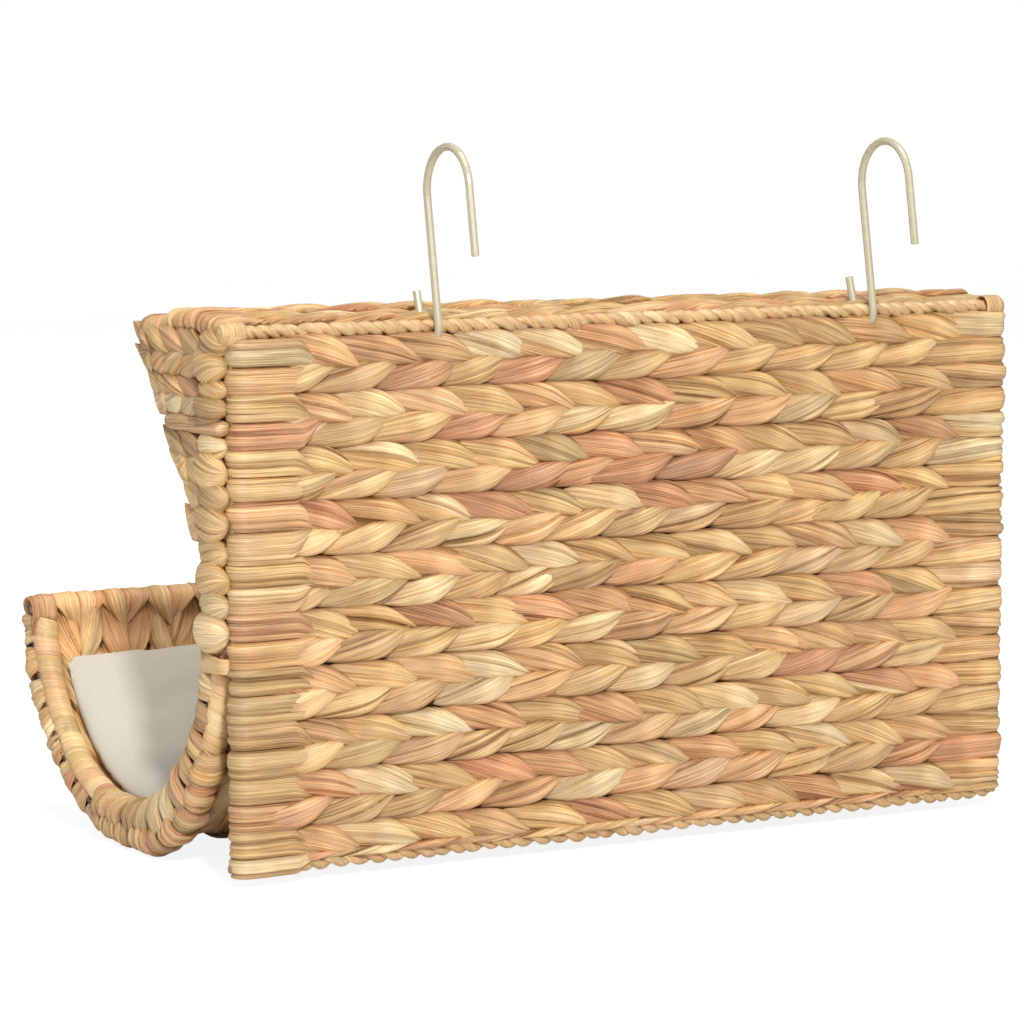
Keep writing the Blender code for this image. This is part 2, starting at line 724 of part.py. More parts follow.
def make_rope(name, x_low, x_high, height, material):
    """A rope wound round a rod, closed to a tube with its two ends open."""
    form = bmesh.new()
    corners = [(x_high, ROPE_RADIUS), (x_low, ROPE_RADIUS), (x_low, BORE_RADIUS), (x_high, BORE_RADIUS)]
    places = [form.verts.new((x, 0, radius)) for x, radius in corners]
    for index in range(len(places)):
        form.edges.new((places[index], places[(index + 1) % len(places)]))
    mesh = bpy.data.meshes.new(name)
    form.to_mesh(mesh)
    form.free()
    rope = bpy.data.objects.new(name, mesh)
    PARTS.objects.link(rope)
    rope.location = world_point(0, (REAR_ROD_DEPTH, height))
    screw = rope.modifiers.new("wound round the rod", "SCREW")
    screw.axis = "X"
    screw.steps = ROPE_SIDES
    screw.render_steps = ROPE_SIDES
    screw.use_merge_vertices = True
    screw.merge_threshold = WELD
    screw.use_normal_calculate = True
    screw.use_normal_flip = True
    return finish(rope, material, smooth=True)


def make_band(side, sling, material):
    """The flat strand looped round the rear post and the side rod, through slits in both sheets."""
    low = BAND_HEIGHT - BAND_WIDTH / 2
    bottom = min(sling.marks, key=lambda distance: sling.place(distance).y)
    at_band = sling.where(lambda distance: distance > bottom and sling.place(distance).y >= low)
    front = sling.offset(at_band, -SLING_THICKNESS / 2).x + GAP
    outer_x = WEAVE_HALF + GAP
    name = side_name("lashing", side)
    near = BACK_Y - front
    far = BACK_Y + GAP
    data = bpy.data.curves.new(name, "CURVE")
    data.dimensions = "2D"
    data.fill_mode = "BOTH"
    data.extrude = BAND_WIDTH / 2
    for grow in (0, BAND_THICKNESS):
        left = side * SHEET_X - side * grow
        right = side * outer_x + side * grow
        spline = data.splines.new("POLY")
        corners = [(left, near - grow), (right, near - grow), (right, far + grow), (left, far + grow)]
        spline.points.add(len(corners) - 1)
        for point, place in zip(spline.points, corners):
            point.co = (*place, 0, 1)
        spline.use_cyclic_u = True
    band = link_curve(name, data, PARTS)
    band.location = (0, 0, BAND_HEIGHT)
    return finish(curve_to_mesh(band), material)


def make_cushion(sling, material):
    """A thin pad lying in the U: crowned towards the cat, thin at its rim, its long edges drawn in."""
    seat = SLING_THICKNESS / 2 + GAP
    bottom = min(sling.marks, key=lambda distance: sling.place(distance).y)
    front_top = sling.where(lambda distance: sling.offset(distance, -seat).y <= PAD_RIM_HEIGHT)
    back_top = sling.where(
        lambda distance: distance > bottom and sling.offset(distance, -seat).y >= PAD_RIM_HEIGHT
    )
    inside = sling.stretch(front_top + PAD_DRAW_IN, back_top - PAD_DRAW_IN)[1:-1]
    edge = [*PAD_EDGE_SHARES]
    fullness = edge + [1.0] * (len(inside) + 2 - 2 * len(edge)) + edge[::-1]
    half = WEAVE_HALF - PAD_END_MARGIN
    rings = []
    for place_share, thickness_share in PAD_STATION_SHARES:
        draw_in = PAD_DRAW_IN * (1 - place_share**2)
        distances = [front_top + draw_in, *inside, back_top - draw_in]
        ring = [sling.offset(distance, -seat) for distance in distances]
        for distance, edge_share in reversed(list(zip(distances, fullness))):
            ring.append(sling.offset(distance, -seat - PAD_THICKNESS * thickness_share * edge_share))
        rings.append([world_point(place_share * half, place) for place in ring])
    return finish(loft("cushion", rings), material, smooth=True)


clear_scene()
straw = make_material("woven straw", (0.72, 0.50, 0.27), 0.55)
rope_straw = make_material("wound straw", (0.78, 0.58, 0.33), 0.5)
rod_steel = make_material("coated steel rod", (0.30, 0.28, 0.25), 0.45, 0.3)
hook_steel = make_material("sand coated steel", (0.58, 0.53, 0.40), 0.4, 0.1)
fabric = make_material("pad fabric", (0.72, 0.69, 0.62), 0.9)

sling_middle = sling_line()
shelf_middle = shelf_line()
make_rods(sling_middle, shelf_middle, rod_steel)
make_rear_panel(shelf_middle, straw)
make_shelf(sling_middle, shelf_middle, straw)
make_sling(sling_middle, shelf_middle, straw)
make_rope("top_rear_rope", -HEAD_X + GAP, HEAD_X - GAP, TOP_ROD_HEIGHT, rope_straw)
make_rope("bottom_rear_rope", -HEAD_X + GAP, FOOT_X - GAP, BOTTOM_ROD_HEIGHT, rope_straw)
make_cushion(sling_middle, fabric)
for end in (1, -1):
    make_gusset(end, sling_middle, shelf_middle, straw)
    make_binding(end, sling_middle, rope_straw)
    make_band(end, sling_middle, rope_straw)
    make_hook(end, hook_steel)
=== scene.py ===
"""Woven cat bed on a steel rod frame, hung by two wire hooks: the finish of every surface. Metres, +Z up."""

import math

import bpy
import numpy as np
from mathutils import Euler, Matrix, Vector


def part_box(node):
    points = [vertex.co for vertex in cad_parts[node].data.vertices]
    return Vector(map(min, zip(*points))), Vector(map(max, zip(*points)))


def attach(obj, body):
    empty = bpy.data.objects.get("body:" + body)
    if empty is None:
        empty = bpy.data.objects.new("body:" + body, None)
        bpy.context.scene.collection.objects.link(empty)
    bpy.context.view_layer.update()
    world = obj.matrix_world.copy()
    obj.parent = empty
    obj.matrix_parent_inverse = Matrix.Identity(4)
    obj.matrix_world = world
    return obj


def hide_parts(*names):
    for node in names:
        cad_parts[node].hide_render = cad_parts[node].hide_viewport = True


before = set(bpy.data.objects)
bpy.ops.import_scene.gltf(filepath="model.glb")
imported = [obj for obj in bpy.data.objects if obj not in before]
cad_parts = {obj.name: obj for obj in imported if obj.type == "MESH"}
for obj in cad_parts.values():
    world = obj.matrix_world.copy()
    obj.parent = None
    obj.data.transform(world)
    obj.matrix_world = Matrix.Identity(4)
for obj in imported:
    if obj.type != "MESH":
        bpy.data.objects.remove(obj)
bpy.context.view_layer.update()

# Camera and lamps. The photo looks at the back of the bed from the radiator's side, a little from
# above, with its left end nearest.
VIEW_LENS = 149.86
VIEW_FROM = (1.12591, 1.92278, 0.39723)
VIEW_PITCH = math.radians(6.17)
VIEW_TURN = math.radians(149.907)

scene = bpy.context.scene
scene.view_settings.view_transform = "Standard"
camera_data = bpy.data.cameras.new("photo view")
camera_data.lens = VIEW_LENS
camera_data.sensor_width = 36
camera = bpy.data.objects.new("photo view", camera_data)
camera.location = VIEW_FROM
camera.rotation_euler = Euler((math.pi / 2 - VIEW_PITCH, 0, VIEW_TURN))
scene.collection.objects.link(camera)
scene.camera = camera


def add_node(tree, kind, inputs=(), **settings):
    """A shader node with its settings; each input gets a value or another node's output."""
    node = tree.nodes.new("ShaderNode" + kind)
    for name, value in settings.items():
        setattr(node, name, value)
    for name, value in dict(inputs).items():
        if isinstance(value, bpy.types.NodeSocket):
            tree.links.new(value, node.inputs[name])
        else:
            node.inputs[name].default_value = value
    return node


world = bpy.data.worlds.new("studio")
world.use_nodes = True
tree = world.node_tree
sky = tree.nodes["Background"]
sky.inputs["Color"].default_value = (1, 0.985, 0.96, 1)
sky.inputs["Strength"].default_value = 0.29
white = add_node(tree, "Background", {"Color": (1, 1, 1, 1), "Strength": 1})
rays = add_node(tree, "LightPath")
seen_rays = {0: rays.outputs["Is Camera Ray"], 1: rays.outputs["Is Transmission Ray"]}
seen = add_node(tree, "Math", seen_rays, operation="MAXIMUM")
mixed = add_node(tree, "MixShader", {0: seen.outputs[0], 1: sky.outputs[0], 2: white.outputs[0]})
tree.links.new(mixed.outputs[0], tree.nodes["World Output"].inputs["Surface"])
scene.world = world


def softbox(name, place, aim, size, power):
    lamp_data = bpy.data.lights.new(name, "AREA")
    lamp_data.shape = "SQUARE"
    lamp_data.size = size
    lamp_data.energy = power
    lamp_data.color = (1, 0.985, 0.955)
    lamp = bpy.data.objects.new(name, lamp_data)
    lamp.location = place
    lamp.rotation_euler = (Vector(aim) - Vector(place)).to_track_quat("-Z", "Y").to_euler()
    scene.collection.objects.link(lamp)


softbox("key lamp", (0.82, 2.2, 1.45), (0, 0, 0.15), 0.18, 45)
softbox("top lamp", (0.2, 0.5, 2.4), (0, 0, 0.15), 0.8, 39)
softbox("side lamp", (2.0, -0.6, 0.9), (0.1, 0, 0.12), 1.0, 3)


# Rear panel: nine and a half braids of three water hyacinth stems lie one above the other. Each stem is a
# bundle of flattened leaves. At both ends the stems run out straight, pass round the upright rod and
# return behind.
PALETTE = (
    ((0.80, 0.56, 0.27), 0.34),
    ((0.70, 0.47, 0.22), 0.22),
    ((0.77, 0.46, 0.24), 0.20),
    ((0.66, 0.34, 0.18), 0.08),
    ((0.92, 0.75, 0.46), 0.12),
    ((0.60, 0.44, 0.21), 0.05),
)
# Nearly black brown of the stems seen through the gaps: painted shade.
HIDDEN_SHADE_TINT = np.array([0.17, 0.09, 0.035])
STRAW = np.array([0.79, 0.53, 0.26])
SHADED_TINT = np.array([0.42, 0.27, 0.12])
# An even straw for the lip's bands, its lightness partly painted light.
LIP_LIT_TINT = np.array([0.92, 0.62, 0.33])
LIT_TONE = np.array([1.18, 1.12, 1.06])
# Darkening in the leaves' creases: painted shade.
PAINTED_CREASE_SHADE = np.array([0.36, 0.46, 0.56])
# Darkening along each leaf's edges, where it dips under its neighbours: painted shade.
PAINTED_EDGE_SHADE = np.array([0.31, 0.42, 0.52])
# Darkening where a leaf comes out from under the one before: painted shade.
PAINTED_START_SHADE = np.array([0.17, 0.23, 0.29])
FINE = (24, 44, 5)
MIDDLING = (16, 20, 4)
COARSE = (12, 9, 3)


def pick_tints(rng, count):
    """One colour a leaf, from straw and peach to cream, salmon and olive."""
    weights = np.array([weight for _, weight in PALETTE])
    colors = np.array([color for color, _ in PALETTE])
    one = rng.choice(len(PALETTE), size=count, p=weights / weights.sum())
    other = rng.choice(len(PALETTE), size=count, p=weights / weights.sum())
    share = rng.uniform(0.1, 0.6, size=(count, 1))
    tint = colors[one] * (1 - share) + colors[other] * share
    return tint * rng.uniform(0.90, 1.14, size=(count, 1))


def smooth_step(value):
    value = np.clip(value, 0, 1)
    return value * value * (3 - 2 * value)


def section(detail, plump):
    """Round a leaf's section: place across, height and weight of its upper face, close together on top."""
    _, top, back = detail
    angles = np.concatenate([
        np.linspace(0, math.pi, top, endpoint=False),
        np.linspace(math.pi, 2 * math.pi, back, endpoint=False),
    ])
    across = np.sign(np.cos(angles)) * np.abs(np.cos(angles)) ** (2 / plump)
    height = np.sign(np.sin(angles)) * np.abs(np.sin(angles)) ** (2 / plump)
    return across, height, np.clip(np.sin(angles), 0, 1) ** 0.5


def leaf_surface(along, low, high, out, depth, slope, rng, tint, second, detail, plump=2.5, relief=1.0,
                 folds=3):
    """A flattened leaf between its low and high edges, with folds and ridges that follow its fibres.

    Given in the flat space of a braid: along it, across it and out of it. Returns the corners of its
    rings, the grain coordinates of each and its colour.
    """
    across, height, top = section(detail, plump)
    middle = (low + high) / 2
    half = (high - low) / 2
    place = middle[:, None] + half[:, None] * across[None, :]
    even = middle.mean() + 0.9 * half.max() * across[None, :]
    fibre = 0.3 * place + 0.7 * even - slope * (along - along.mean())[:, None]
    fade = top[None, :] * (depth / depth.max())[:, None] * relief
    lift = height[None, :] * depth[:, None]
    share = np.linspace(-1, 1, len(along))
    lean = relief * (rng.normal(0, 0.07) + rng.normal(0, 0.18) * share)
    lift = lift + (lean * half)[:, None] * across[None, :]
    inner = fibre[:, top > 0.5]
    spots = rng.uniform(inner.min(), inner.max(), folds)
    crease = np.zeros(fibre.shape)
    for spot in spots:
        width = rng.uniform(0.00035, 0.00095)
        sink = rng.uniform(0.0002, 0.0024)
        step = rng.normal(0, 0.00045)
        line = np.exp(-np.abs(fibre - spot) / width)
        crease = crease + line * sink / 0.0022
        lift = lift - fade * sink * line
        lift = lift + fade * step * np.tanh((fibre - spot) / width)
    for strength, wave in ((0.00024, 0.0082), (0.00008, 0.0031), (0.00005, 0.0014)):
        start = rng.uniform(0, 2 * math.pi)
        run = rng.uniform(-90, 90) * along[:, None]
        lift = lift + fade * strength * np.sin(2 * math.pi * fibre / wave + start + run)
    corners = np.stack(np.broadcast_arrays(along[:, None], place, out[:, None] + lift), axis=-1)
    blend = np.zeros(fibre.shape + (1,))
    if folds:
        blend = smooth_step((fibre - spots[0]) / 0.0012 + 0.5)[:, :, None]
    color = tint * (1 - blend) + second * blend
    # Leaves darker along their sunken folds: painted shade in the creases.
    color = color * (1 - PAINTED_CREASE_SHADE * np.clip(crease, 0, 1)[:, :, None])
    # Leaves darker towards their edges: painted shade in the valleys between them.
    edge = smooth_step((np.abs(across) - 0.66) / 0.34) * (0.3 + 0.7 * min(relief, 1))
    color = color * (1 - PAINTED_EDGE_SHADE * edge[None, :, None])
    grain = np.stack([along[:, None] + 0 * fibre + rng.uniform(0, 9), fibre + rng.uniform(0, 9)], axis=-1)
    return corners, grain, color


def lay_along(points, across, out, wrap_start=0.0, wrap_end=0.0):
    """Returns (place, length): place takes flat (along, across, out) corners to their place beside a line.

    Past an end that has a wrap radius the sheet turns round a rod there and runs back on its other side.
    """
    points = np.array(points, dtype=float)
    across = np.broadcast_to(np.array(across, dtype=float), points.shape)
    out = np.broadcast_to(np.array(out, dtype=float), points.shape)
    gaps = np.linalg.norm(np.diff(points, axis=0), axis=1)
    marks = np.concatenate([[0], np.cumsum(gaps)])
    length = marks[-1]
    first = (points[1] - points[0]) / gaps[0]
    last = (points[-1] - points[-2]) / gaps[-1]

    def at(values, distance):
        return np.stack([np.interp(distance, marks, values[:, axis]) for axis in range(3)], axis=-1)

    def place(corners):
        along = corners[..., 0]
        inside = np.clip(along, 0, length)
        beyond = along - inside
        heading = np.where((beyond < 0)[..., None], -first, last)
        radius = np.where(beyond < 0, wrap_start, wrap_end)
        wraps = (beyond != 0) & (radius > 0)
        radius = np.where(radius > 0, radius, 1)
        turned = np.where(wraps, np.clip(np.abs(beyond) / radius, 0, math.pi), 0)[..., None]
        back = np.where(wraps, np.clip(np.abs(beyond) - math.pi * radius, 0, None), 0)[..., None]
        straight = np.where(wraps, 0, np.abs(beyond))[..., None]
        normal = at(out, inside)
        normal = normal / np.linalg.norm(normal, axis=-1, keepdims=True)
        spun = normal * np.cos(turned) + heading * np.sin(turned)
        place_in_line = at(points, inside) + at(across, inside) * corners[..., 1][..., None]
        return place_in_line + spun * corners[..., 2][..., None] + heading * (straight - back)

    return place, length


def placed(leaves, place, middle, face=1.0):
    """Takes leaves to their place beside a line; face is -1 for the sheet's other side."""
    probe = 0.0001
    spots = np.array([[middle, 0, 0], [middle + probe, 0, 0], [middle, probe, 0], [middle, 0, probe * face]])
    spots = place(spots)
    turned = np.linalg.det(spots[1:] - spots[0]) < 0
    result = []
    for corners, grain, color in leaves:
        corners = place(corners * np.array([1.0, 1.0, face]))
        if turned:
            corners = corners[:, ::-1]
            grain = grain[:, ::-1]
            color = color[:, ::-1]
        result.append((corners, grain, color))
    return result


def weave_piece(name, leaves, material, body="bed"):
    """Joins leaves into one closed mesh object, with their grain in a UV map and their colour per vertex."""
    corners_of_faces = []
    sizes = []
    first = 0
    for corners, _, _ in leaves:
        rings, around = corners.shape[:2]
        ring = np.arange(rings - 1)[:, None] * around
        spot = np.arange(around)[None, :]
        after = (spot + 1) % around
        quads = np.stack([ring + spot, ring + after, ring + around + after, ring + around + spot], axis=2)
        corners_of_faces.append(quads.ravel() + first)
        sizes.append(np.full((rings - 1) * around, 4))
        corners_of_faces.append(np.arange(around)[::-1] + first)
        corners_of_faces.append(np.arange(around) + first + (rings - 1) * around)
        sizes.append(np.full(2, around))
        first += rings * around
    verts = np.concatenate([corners.reshape(-1, 3) for corners, _, _ in leaves])
    grains = np.concatenate([grain.reshape(-1, 2) for _, grain, _ in leaves])
    colors = np.concatenate([color.reshape(-1, 3) for _, _, color in leaves])
    loops = np.concatenate(corners_of_faces).astype(np.int32)
    sizes = np.concatenate(sizes)
    mesh = bpy.data.meshes.new(name)
    mesh.vertices.add(len(verts))
    mesh.vertices.foreach_set("co", verts.astype(np.float32).ravel())
    mesh.loops.add(len(loops))
    mesh.loops.foreach_set("vertex_index", loops)
    mesh.polygons.add(len(sizes))
    starts = np.concatenate([[0], np.cumsum(sizes)[:-1]])
    mesh.polygons.foreach_set("loop_start", starts.astype(np.int32))
    mesh.update(calc_edges=True)
    tint = mesh.color_attributes.new("tint", "FLOAT_COLOR", "POINT")
    opaque = np.column_stack([colors, np.ones(len(colors))])
    tint.data.foreach_set("color", opaque.astype(np.float32).ravel())
    layer = mesh.uv_layers.new(name="grain")
    layer.data.foreach_set("uv", grains[loops].astype(np.float32).ravel())
    mesh.shade_smooth()
    mesh.materials.append(material)
    piece = bpy.data.objects.new(name, mesh)
    scene.collection.objects.link(piece)
    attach(piece, body)
    return piece


def principled(name, roughness, specular):
    """A new material, its node tree and its shader."""
    material = bpy.data.materials.new(name)
    material.use_nodes = True
    shader = material.node_tree.nodes["Principled BSDF"]
    shader.inputs["Roughness"].default_value = roughness
    shader.inputs["Specular IOR Level"].default_value = specular
    return material, material.node_tree, shader


def leaf_material(name, roughness=0.42, streak=0.26):
    """Dried leaf: its own colour, darker and lighter fibres along it with lighter streaks partly as painted
    highlight, and a fine lengthwise relief.
    """
    material, tree, shader = principled(name, roughness, 0.8)
    tint = add_node(tree, "VertexColor", layer_name="tint")
    uv = add_node(tree, "UVMap", uv_map="grain")

    def fibres(along, across, detail, low, high, dark, light):
        """Noise drawn out along the leaf, its values from low to high turned into dark to light."""
        stretch = add_node(tree, "Mapping", {"Vector": uv.outputs[0], "Scale": (along, across, 1)})
        looks = {"Vector": stretch.outputs[0], "Scale": 1, "Detail": detail, "Roughness": 0.6}
        noise = add_node(tree, "TexNoise", looks, noise_dimensions="2D")
        spread = {"From Min": low, "From Max": high, "To Min": dark, "To Max": light}
        spread["Value"] = noise.outputs["Fac"]
        return add_node(tree, "MapRange", spread, interpolation_type="SMOOTHSTEP")

    def combined(one, other, operation):
        return add_node(tree, "Math", {0: one.outputs[0], 1: other.outputs[0]}, operation=operation)

    fine = fibres(26, 3000, 4, 0.3, 0.7, 1 - 0.85 * streak, 1 + 0.65 * streak)
    # Lighter streaks along the leaf: partly fibre, partly painted highlight.
    shine = fibres(16, 1300, 2, 0.52, 0.66, 1.0, 1 + 1.0 * streak)
    patch = fibres(40, 110, 2, 0.3, 0.7, 0.90, 1.06)
    both = combined(combined(fine, shine, "MULTIPLY"), patch, "MULTIPLY")
    lines = fibres(14, 2100, 2, 0.34, 0.50, 1 + 2.6 * streak, 1.0)
    deeper = add_node(tree, "Gamma", {"Color": tint.outputs["Color"], "Gamma": lines.outputs[0]})
    stain = {0: deeper.outputs[0], "Scale": both.outputs[0]}
    stained = add_node(tree, "VectorMath", stain, operation="SCALE")
    height = combined(both, lines, "SUBTRACT")
    relief = add_node(tree, "Bump", {"Strength": 0.7, "Distance": 0.0006, "Height": height.outputs[0]})
    tree.links.new(stained.outputs[0], shader.inputs["Base Color"])
    tree.links.new(relief.outputs[0], shader.inputs["Normal"])
    return material


LEAF_SHARES = (0.0, 0.10, 0.25, 0.45, 0.58, 0.70, 0.82, 0.92, 1.0)
LEAF_OUTER = (0.80, 1.02, 1.06, 1.07, 1.05, 0.91, 0.54, 0.20, -0.10)
LEAF_INNER = (0.35, 0.12, 0.00, -0.06, -0.10, -0.13, -0.15, -0.16, -0.17)
LEAF_RISE = (0.0000, 0.0009, 0.0020, 0.0031, 0.0039, 0.0042, 0.0037, 0.0026, 0.0010)
LEAF_DEPTH = (0.0010, 0.0022, 0.0029, 0.0033, 0.0034, 0.0032, 0.0025, 0.0017, 0.0008)
LEAF_LENGTH = 0.058
BAND_BEHIND = 0.024
BAND_GAP = 0.0001
BRIGHTEST = 0.95
LEAF_PITCH = 0.0325
FIBRE_SLOPE = 0.20
CORE_DEPTH = 0.0013


def leaf_table(table, steps):
    """A table over the leaf's length, with its corners rounded."""
    values = np.interp(np.linspace(0, 1, steps), LEAF_SHARES, table)
    padded = np.concatenate([[2 * values[0] - values[1]], values, [2 * values[-1] - values[-2]]])
    return (padded[:-2] + 2 * padded[1:-1] + padded[2:]) / 4


def toned(leaves, tone, brightest=BRIGHTEST):
    """The same leaves, darker or lighter."""
    return [(corners, grain, np.minimum(color * tone, brightest)) for corners, grain, color in leaves]


def band_edges(low, high, past, half_pitch, half, lower):
    """A band's edges across its braid, drawn together where it ends behind the rod."""
    tail = smooth_step((past - 0.4 * BAND_BEHIND) / (0.6 * BAND_BEHIND))
    high = high * half_pitch * (1 - 0.85 * tail) + BAND_GAP
    low = low * half_pitch + BAND_GAP
    if half < 0:
        return -high * lower, -low * lower
    return low, high


def running_out(start, half, half_pitch, rng, detail, lower, edge, wrap, flat):
    """The last leaf of a braid's half: it runs straight out, round the rod at the edge and back behind."""
    turn = math.pi * wrap
    steps = int(detail[0] * 2.6)
    along = start + (edge + turn + BAND_BEHIND - start) * np.linspace(0, 1, steps)
    share = np.clip((along - start) / LEAF_LENGTH, 0, 0.50)
    near = smooth_step((along - (edge - 0.014)) / 0.013)
    back = smooth_step((along - edge - turn) / BAND_BEHIND)
    high = np.interp(share, LEAF_SHARES, LEAF_OUTER) * (1 - near) + 1.0 * near
    low = np.interp(share, LEAF_SHARES, LEAF_INNER) * (1 - near) + 0.0 * near
    level = np.interp(share, LEAF_SHARES, LEAF_RISE) * (1 - near) + (wrap - 0.0010) * near
    depth = np.interp(share, LEAF_SHARES, LEAF_DEPTH) * (1 - 0.25 * near)
    level = level * flat * (1 - 0.4 * back)
    depth = depth * flat * (1 - 0.4 * back)
    low, high = band_edges(low, high, along - edge - turn, half_pitch, half, lower)
    slope = -0.10 * rng.uniform(0.0, 1.0) * half
    tint, second = pick_tints(rng, 2)
    second = second if rng.uniform() < 0.4 else tint * rng.uniform(0.9, 1.08)
    corners, grain, color = leaf_surface(
        along, low, high, level, depth, slope, rng, tint, second, detail, plump=rng.uniform(2.4, 3.0),
        relief=0.8, folds=rng.integers(3, 6),
    )
    # Darker where it comes out from under the leaf before: painted shade.
    shaded = smooth_step((0.62 - (along - start) / LEAF_LENGTH) / 0.16)[:, None, None]
    return corners, grain, color * (1 - PAINTED_START_SHADE * shaded)


def braid_leaves(first_tip, last_tip, half_pitch, rng, detail, pitch=LEAF_PITCH, length=LEAF_LENGTH,
                 flat=1.0, lower=1.0, relief=1.0, run_on=None):
    """Leaves on one face of a braid, laid like an ear of wheat: on each half, each overlaps the next.

    With run_on, the edge with its rod's wrap radius and flatness, the last leaf of each half passes the rod.
    """
    leaves = []
    steps = detail[0]
    count = max(int(round((last_tip - first_tip) / pitch)), 0)
    share = np.linspace(0, 1, steps)
    tables = (LEAF_OUTER, LEAF_INNER, LEAF_RISE, LEAF_DEPTH)
    outer, inner, rise, depth = (leaf_table(table, steps) for table in tables)
    lag = rng.uniform(-0.42, -0.12) * pitch
    last_lag = rng.uniform(-0.44, -0.14) * pitch
    for half in (1, -1):
        tints = pick_tints(rng, count + 1)
        others = pick_tints(rng, count + 1)
        wander = np.cumsum(rng.normal(0, 0.0021, count + 1))
        wander -= np.linspace(wander[0], wander[-1] + rng.uniform(-0.003, 0.010), count + 1)
        tips = np.linspace(first_tip, last_tip, count + 1) + wander * min(pitch / LEAF_PITCH, 1)
        if half < 0:
            tips += np.linspace(lag, last_lag, count + 1)
        for number, tip in enumerate(tips):
            tip += rng.normal(0, 0.0014)
            reach = length * rng.uniform(0.92, 1.10)
            along = tip + (share - 1) * reach
            sway = rng.normal(0, 0.035) * np.sin(math.pi * share)
            grow = rng.uniform(0.97, 1.03)
            bent = share ** rng.uniform(0.90, 1.12)
            high = (np.interp(bent, share, outer) * grow + sway) * half_pitch
            low = (np.interp(bent, share, inner) + sway + rng.normal(0, 0.03)) * half_pitch
            low = np.minimum(low, high - 0.0006)
            level = (rise + rng.normal(0, 0.00035)) * flat
            slope = -FIBRE_SLOPE * rng.uniform(0.4, 1.6)
            if half < 0:
                low, high, slope = -high * lower, -low * lower, -slope
            second = others[number] if rng.uniform() < 0.4 else tints[number] * rng.uniform(0.9, 1.08)
            corners, grain, color = leaf_surface(
                along, low, high, level, depth * flat * rng.uniform(0.9, 1.08), slope, rng, tints[number],
                second, detail, plump=rng.uniform(2.1, 2.7), relief=relief, folds=rng.integers(2, 6),
            )
            # Darker where it comes out from under the leaf before: painted shade.
            shaded = smooth_step((0.62 - share) / 0.16)[:, None, None]
            leaves.append((corners, grain, color * (1 - PAINTED_START_SHADE * shaded)))
        if run_on:
            start = tips[-1] + pitch - length
            leaves.append(running_out(start, half, half_pitch, rng, detail, lower, *run_on))
    return leaves


def end_bands(edge, inward, half_pitch, rng, detail, run, wrap, flat=1.0, lower=1.0, pointed=True,
              point_length=0.013, plump=3.0, crown=0.0010, relief=0.55, thick=1.0, bulge=1.4,
              calm=0.0):
    """The two flat bands in which a braid ends, round the rod at its edge and back behind.

    Pointed bands lie over the braid's first leaves. The others come from under its last ones.
    """
    bands = []
    turn = math.pi * wrap
    steps = int(detail[0] * 2.4)
    for half in (1, -1):
        reach = run * rng.uniform(0.90, 1.06)
        bend = np.linspace(0, 1, steps)
        distance = reach - (reach + turn + BAND_BEHIND) * bend
        point = np.clip((reach - distance) / point_length, 0, 1)
        back = smooth_step((-distance - turn) / BAND_BEHIND)
        if pointed:
            high = -0.04 + 1.06 * (1 - (1 - point) ** bulge)
            low = -0.10 + 0.10 * point
            hump = crown * np.exp(-(((distance - 0.006) / 0.009) ** 2))
            level = 0.0042 + (wrap - 0.0052) * smooth_step(point) + hump
            depth = 0.0012 + 0.0016 * smooth_step(point)
        else:
            high = 0.80 + 0.22 * smooth_step(point * 1.6)
            low = 0.35 - 0.36 * smooth_step(point * 1.6)
            level = -0.0018 + (wrap + 0.0008) * smooth_step(point)
            depth = 0.0014 + 0.0014 * smooth_step(point)
        level = level * flat * (1 - 0.4 * back)
        depth = depth * flat * thick * (1 - 0.3 * back)
        low, high = band_edges(low, high, -distance - turn, half_pitch, half, lower)
        tint, second = pick_tints(rng, 2)
        # Bands drawn towards an even, lighter straw: their own tone and partly painted light.
        tint = tint * (1 - calm) + LIP_LIT_TINT * calm
        if rng.uniform() < 0.65 or calm:
            second = tint * rng.uniform(0.93, 1.05)
        shape = [values[::-inward] for values in (edge + inward * distance, low, high, level, depth)]
        bands.append(leaf_surface(
            *shape, 0.0, rng, tint, second, detail, plump=plump, relief=relief, folds=rng.integers(3, 6),
        ))
    return bands


def core_strip(start, end, half_pitch, lower=1.0, flat=1.0, level=0.0, tint=HIDDEN_SHADE_TINT):
    """The stems inside a braid, seen only through its small gaps, in a darker tint that paints the shade
    there.
    """
    steps = 90
    along = np.linspace(start, end, steps)
    same = np.ones(steps)
    rng = np.random.default_rng(0)
    return leaf_surface(
        along, -half_pitch * lower * same, half_pitch * same, level * same, CORE_DEPTH * flat * same, 0.0, rng,
        tint, tint, (steps, 5, 3), relief=0.0, folds=0,
    )


panel_low, panel_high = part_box("rear_panel")
post_low, post_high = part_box("rear_post_left")
top_rope_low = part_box("top_rear_rope")[0]
bottom_rope_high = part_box("bottom_rear_rope")[1]
BACK_Y = panel_high.y
PANEL_MIDDLE_Y = (panel_low.y + panel_high.y) / 2
WEAVE_HALF = panel_high.x
POST_X = (post_low.x + post_high.x) / 2
PANEL_TOP = top_rope_low.z
PANEL_BOTTOM = bottom_rope_high.z
PANEL_ROWS = 9.5
ROW_PITCH = (PANEL_TOP - PANEL_BOTTOM) / PANEL_ROWS
PANEL_WRAP = 0.0060
PANEL_LIFT = 0.0012
PANEL_CORE_START = 0.012
CORE_ROOM = 0.010
LEFT_ROOM = 0.0012
RIGHT_REACH = 0.0040
FIRST_TIP = 0.066
BACK_ADVANCE = 0.020
LAST_TIP_ROOM = 0.015
BAND_TIP = 0.040
BAND_TONE = 0.92
FOOT_SHARE = 0.72

